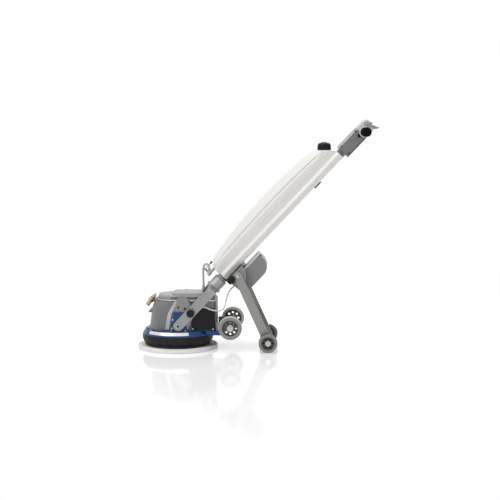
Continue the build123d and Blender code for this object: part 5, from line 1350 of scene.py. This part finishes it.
class MACHINE_OT_fasteners(bpy.types.Operator):
    """Set the screws, bolts, nuts and washers into the bodies they hold"""

    bl_idname = "machine.fasteners"
    bl_label = "Set fasteners"

    def round_about(self, radius, height, angles):
        return [(Vector((radius * cos(radians(a)), radius * sin(radians(a)), height)), UP) for a in angles]

    def both_sides(self, *spots):
        """The given (x, side, height) spots on the left and the right, facing outwards."""
        return [((x, y * side, height), SIDE * y) for y in BOTH for x, side, height in spots]

    def on_axis(self, axis, side):
        """The two ends of an axis across the machine, facing outwards."""
        return self.both_sides((axis[0], side, axis[1]))

    def on_arms(self, *spots):
        """The given (along, front, side) spots of the handle on the left and the right, facing outwards."""
        return [(on_handle(along, front, y * side), SIDE * y) for y in BOTH for along, front, side in spots]

    def washers(self, name, axis, side, inner, outer, thick, body, finish):
        """A flat ring on each side, round an axis across the machine."""
        profile = [(inner, 0.0), (outer, 0.0), (outer, thick - 0.0003), (outer - 0.0004, thick), (inner, thick)]
        rings = [lathe(profile, 40, True, outward(axis[0], side, axis[1], y)) for y in BOTH]
        settle(name, merged(*rings), finish, body)

    def execute(self, context):
        small = {"head": 0.0040, "height": 0.0024}
        grown("base_screws", socket_screw, self.round_about(0.1658, 0.1079, (114, 137, 160, 200, 223, 246)),
              "black", "chassis", head=0.0062, height=0.0042)
        grown("cover_screws", socket_screw, self.round_about(0.0885, 0.2939, (118, 149, 180, 211, 242)),
              "zinc", "chassis", **small)
        corners = [(x, 0.1159, z) for x in (0.090, 0.198) for z in (0.118, 0.221)]
        grown("panel_screws", socket_screw, self.both_sides(*corners), "zinc", "chassis", **small)
        grown("bracket_screws", socket_screw, self.both_sides((-0.014, 0.1479, 0.172), (-0.019, 0.1479, 0.126)),
              "zinc", "chassis", head=0.0045, height=0.0018)
        feet = [((x, y * 0.1556, 0.1129), UP) for y in BOTH for x in (-0.0225, 0.0530)]
        tail = [((0.238, y * side, 0.1079), UP) for y in BOTH for side in (0.050, 0.086)]
        grown("chassis_bolts", hex_bolt, feet + tail, "zinc", "chassis", head=0.0046, height=0.0034, washer=0.0060)
        grown("pivot_sockets", socket_screw, self.on_axis(TILT_AXIS, 0.1684), "web", "chassis",
              head=0.0082, height=0.0016)
        self.washers("pivot_washers", TILT_AXIS, 0.1602, 0.0131, 0.0178, 0.0012, "chassis", "collar")
        grown("axle_nuts", hex_bolt, self.on_axis(TRANSPORT_AXIS, 0.1984), "zinc", "chassis",
              head=0.0074, height=0.0030, washer=0.0104)
        grown("castor_nuts", hex_bolt, self.on_axis(CASTOR_AXIS, 0.1784), "zinc", "leg",
              head=0.0070, height=0.0030, washer=0.0098)
        grown("arm_bolts", socket_screw, self.on_arms((0.2555, -0.0135, 0.1599), (0.2555, 0.0135, 0.1599)),
              "zinc", "handle", head=0.0045, height=0.0024)
        grown("head_screws", socket_screw,
              self.on_arms((1.286, -0.028, 0.0459), (1.286, 0.024, 0.0459), (1.392, 0.026, 0.0459)),
              "black", "handle", **small)
        grown("leg_pivot_nuts", hex_bolt, self.on_axis(LEG_AXIS, 0.1404), "zinc", "handle",
              head=0.0066, height=0.0040, washer=0.0092)
        self.washers("leg_pivot_rings", LEG_AXIS, 0.1323, 0.0102, 0.0160, 0.0014, "handle", "chrome")
        return {"FINISHED"}


class MACHINE_OT_fittings(bpy.types.Operator):
    """Add the seat rubber, the tap lever's tip, the arm clip, the box's plug, the head's crown and valve details"""

    bl_idname = "machine.fittings"
    bl_label = "Add small fittings"

    VALVE, VALVE_LEAN = Vector((-0.142, 0, 0.262)), radians(51.5)

    def execute(self, context):
        seat = slab(rectangle(-0.0585, -0.0555, 0.0585, 0.0235, 0.011), 0.3390, 0.3471,
                    turned(PIVOT, SIDE, ALONG), 0.0008)
        settle("seat_rubber", seat, "rubber", "handle")
        tip = lathe([(0.0021, 0.3390), (0.0040, 0.3392), (0.0046, 0.3410), (0.0046, 0.3545), (0.0040, 0.3560),
                     (0.0, 0.3562)], 28, False, turned(on_handle(0, 0.0998, 0.018), SIDE, ALONG))
        settle("tap_lever_tip", tip, "black", "tap_lever")
        clip = slab(rectangle(-0.011, -0.0046, 0.011, 0.0046, 0.002, 3), 0.0, 0.0075,
                    turned(on_handle(0.236, 0.0258, -0.155), ALONG, FRONT), 0.0015)
        settle("arm_clip", clip, "black", "handle")
        plug = lathe([(0.0, 0.0060), (0.0032, 0.0060), (0.0044, 0.0050), (0.0048, 0.0012), (0.0060, 0.0006),
                      (0.0060, -0.0008), (0.0, -0.0008)], 28, False,
                     turned(on_handle(0.5672, -0.0640, -0.0560), SIDE, ALONG))
        settle("box_plug", plug, "black", "handle")
        self.crown()
        self.valve()
        return {"FINISHED"}

    def crown(self):
        """The round end of the head above the handlebar."""
        half, radius, soft = 0.0400, 0.0220, 0.006
        side = [(radius - soft + soft * sin(a), half - soft + soft * cos(a)) for a in quarter(5)]
        profile = [(0.0, half), *side, *[(r, -h) for r, h in reversed(side)], (0.0, -half)]
        crown = lathe(profile, 56, False, turned(on_handle(1.4620, 0.0120), ALONG, SIDE))
        settle("head_crown", crown, "pale", "handle")

    def valve(self):
        """Hose ridges, gland nut and collar on the front valve, the flange of its spigot, and its lever's tips. The
        ridges, collar and flange are pale, a painted highlight on the brass.
        """
        way = Vector((cos(self.VALVE_LEAN), 0, sin(self.VALVE_LEAN)))
        where = turned(self.VALVE, SIDE, way)
        ridge = [(0.0105, 0.0), (0.0128, 0.0008), (0.0112, 0.0052), (0.0105, 0.0054)]
        ridges = [lathe([(radius, z + lift) for radius, lift in ridge], 40, True, where)
                  for z in (-0.0392, -0.0325, -0.0258)]
        flange = lathe([(0.0098, 0.0), (0.0150, 0.0), (0.0156, 0.0006), (0.0156, 0.0036), (0.0148, 0.0044),
                        (0.0098, 0.0044)], 40, True, turned(Vector((-0.1150, 0, 0.258)), SIDE, -BACK))
        collar = lathe([(0.0082, 0.0225), (0.0102, 0.0230), (0.0106, 0.0245), (0.0102, 0.0262), (0.0082, 0.0266)],
                       40, True, where)
        # The ridges, flange and collar take the pale fitting colour as a painted highlight on the brass valve.
        settle("valve_highlight_rings", merged(*ridges, flange, collar), "fitting", "chassis")
        gland = slab(circle(0.0128, 6), 0.0121, 0.0196, where, 0.0012)
        settle("valve_gland", gland, "brass", "chassis")
        tip = [(0.0, 0.0386), (0.0030, 0.0384), (0.0052, 0.0372), (0.0056, 0.0352), (0.0056, 0.0312),
               (0.0050, 0.0300), (0.0, 0.0298)]
        tips = [lathe(tip, 28, False, turned(self.VALVE + SIDE * y * 0.0108, SIDE, way)) for y in BOTH]
        settle("valve_lever_tips", merged(*tips), "fitting", "valve_lever")


class MACHINE_OT_stage(bpy.types.Operator):
    """Set up the floor, the soft lamps, the surroundings and the camera"""

    bl_idname = "machine.stage"
    bl_label = "Build stage"

    WHITE, BLACK = (1, 1, 1, 1), (0, 0, 0, 1)
    # Each lamp: where it hangs, what it points at, its width and its power
    LAMPS = {
        "Key softbox": ((-2.6, -3.4, 3.6), (0.4, 0, 0.5), 2.6, 62),
        "Top softbox": ((0.6, -0.4, 4.2), (0.5, 0, 0.4), 3.0, 46),
        "Rear softbox": ((3.2, 2.6, 2.6), (0.5, 0, 0.6), 2.0, 22),
    }
    CAMERA, CAMERA_AIM, CAMERA_LENS = (0.556, -6.216, 1.164), (0.393, 0, 0.532), 83.23

    def point(self, holder, place, aim):
        """Puts a lamp or the camera at a place and points it at another."""
        holder.location = place
        holder.rotation_euler = (Vector(aim) - Vector(place)).to_track_quat("-Z", "Y").to_euler()

    def execute(self, context):
        scene = context.scene
        scene.view_settings.view_transform = "Standard"
        self.lay_floor()
        self.surround(scene)
        for name, (place, aim, size, power) in self.LAMPS.items():
            lamp = bpy.data.lights.new(name, "AREA")
            lamp.shape = "SQUARE"
            lamp.size = size
            lamp.energy = power
            self.point(add(name, lamp), place, aim)
        lens = bpy.data.cameras.new("Camera")
        lens.sensor_width = 36.0
        lens.lens = self.CAMERA_LENS
        lens.clip_end = 100.0
        scene.camera = add("Camera", lens)
        self.point(scene.camera, self.CAMERA, self.CAMERA_AIM)
        return {"FINISHED"}

    def seen_rays(self, tree):
        """1 for what the camera sees, straight or in a mirroring or clear surface, and the camera's own rays."""
        rays = put(tree, "ShaderNodeLightPath").outputs
        mirrored = math(tree, "MAXIMUM", rays["Is Glossy Ray"], rays["Is Transmission Ray"])
        return math(tree, "MAXIMUM", rays["Is Camera Ray"], mirrored), rays["Is Camera Ray"]

    def lay_floor(self):
        """A white floor that mirrors faintly and fades out around the machine."""
        shape = bmesh.new()
        bmesh.ops.create_grid(shape, x_segments=8, y_segments=8, size=30.0)
        floor = add("Floor", to_mesh("Floor", shape))
        made, tree, shader = start_finish("Floor White", **{
            "Base Color": (0.86, 0.86, 0.86, 1), "Roughness": 0.09, "Specular IOR Level": 0.75})
        seen, straight = self.seen_rays(tree)
        lift = put(tree, "ShaderNodeEmission", {"Color": self.WHITE, "Strength": 0.24})
        dark = put(tree, "ShaderNodeEmission", {"Color": self.BLACK, "Strength": 0.0})
        chosen = put(tree, "ShaderNodeMixShader", {0: seen, 1: dark, 2: lift})
        summed = put(tree, "ShaderNodeAddShader", {0: shader, 1: chosen})
        middle = put(tree, "ShaderNodeMapping", {"Vector": own_place(tree), "Location": (-0.4, 0, 0)})
        reach = put(tree, "ShaderNodeVectorMath", {0: middle}, operation="LENGTH").outputs["Value"]
        far = ramp(tree, reach, 1.0, 3.2, interpolation_type="SMOOTHSTEP")
        gone = math(tree, "MULTIPLY", far, straight)
        clear = put(tree, "ShaderNodeBsdfTransparent")
        faded = put(tree, "ShaderNodeMixShader", {0: gone, 1: summed, 2: clear})
        out = next(n for n in tree.nodes if n.type == "OUTPUT_MATERIAL")
        fill(tree, out.inputs, {0: faded})
        floor.data.materials.append(made)

    def surround(self, scene):
        """White surroundings that light the machine softly, more from above."""
        scene.world = bpy.data.worlds.new("Studio")
        scene.world.use_nodes = True
        tree = scene.world.node_tree
        tree.nodes.clear()
        seen, _ = self.seen_rays(tree)
        way = apart(tree, put(tree, "ShaderNodeTexCoord").outputs["Generated"])
        height = ramp(tree, way["Z"], -0.1, 0.9)
        fill(tree, height.inputs, {"To Min": 0.50, "To Max": 0.72})
        soft = put(tree, "ShaderNodeBackground", {"Color": self.WHITE, "Strength": height})
        white = put(tree, "ShaderNodeBackground", {"Color": self.WHITE, "Strength": 1.0})
        chosen = put(tree, "ShaderNodeMixShader", {0: seen, 1: soft, 2: white})
        put(tree, "ShaderNodeOutputWorld", {0: chosen})


OPERATORS = (
    MACHINE_OT_solids,
    MACHINE_OT_tank,
    MACHINE_OT_cords,
    MACHINE_OT_wheels,
    MACHINE_OT_hand_parts,
    MACHINE_OT_trim,
    MACHINE_OT_fasteners,
    MACHINE_OT_fittings,
    MACHINE_OT_stage,
)


class MACHINE_PT_dressing(bpy.types.Panel):
    """Lists the pieces of the machine and their sizes and colours"""

    bl_idname = "MACHINE_PT_dressing"
    bl_label = "Floor Machine"
    bl_space_type = "VIEW_3D"
    bl_region_type = "UI"
    bl_category = "Floor Machine"

    def draw(self, context):
        layout = self.layout
        for operator in OPERATORS:
            layout.operator(operator.bl_idname, text=operator.bl_label)
        for group in (sizes(), colours()):
            box = layout.box()
            for name in group.__annotations__:
                box.prop(group, name)


CLASSES = (MachineSizes, MachineColours, *OPERATORS, MACHINE_PT_dressing)


def register():
    for made in CLASSES:
        bpy.utils.register_class(made)
    bpy.types.Scene.machine_sizes = bpy.props.PointerProperty(type=MachineSizes)
    bpy.types.Scene.machine_colours = bpy.props.PointerProperty(type=MachineColours)


def unregister():
    del bpy.types.Scene.machine_colours
    del bpy.types.Scene.machine_sizes
    for made in reversed(CLASSES):
        bpy.utils.unregister_class(made)


def main():
    register()
    make_finishes()
    for operator in OPERATORS:
        group, name = operator.bl_idname.split(".")
        getattr(getattr(bpy.ops, group), name)()


if __name__ == "__main__":
    main()
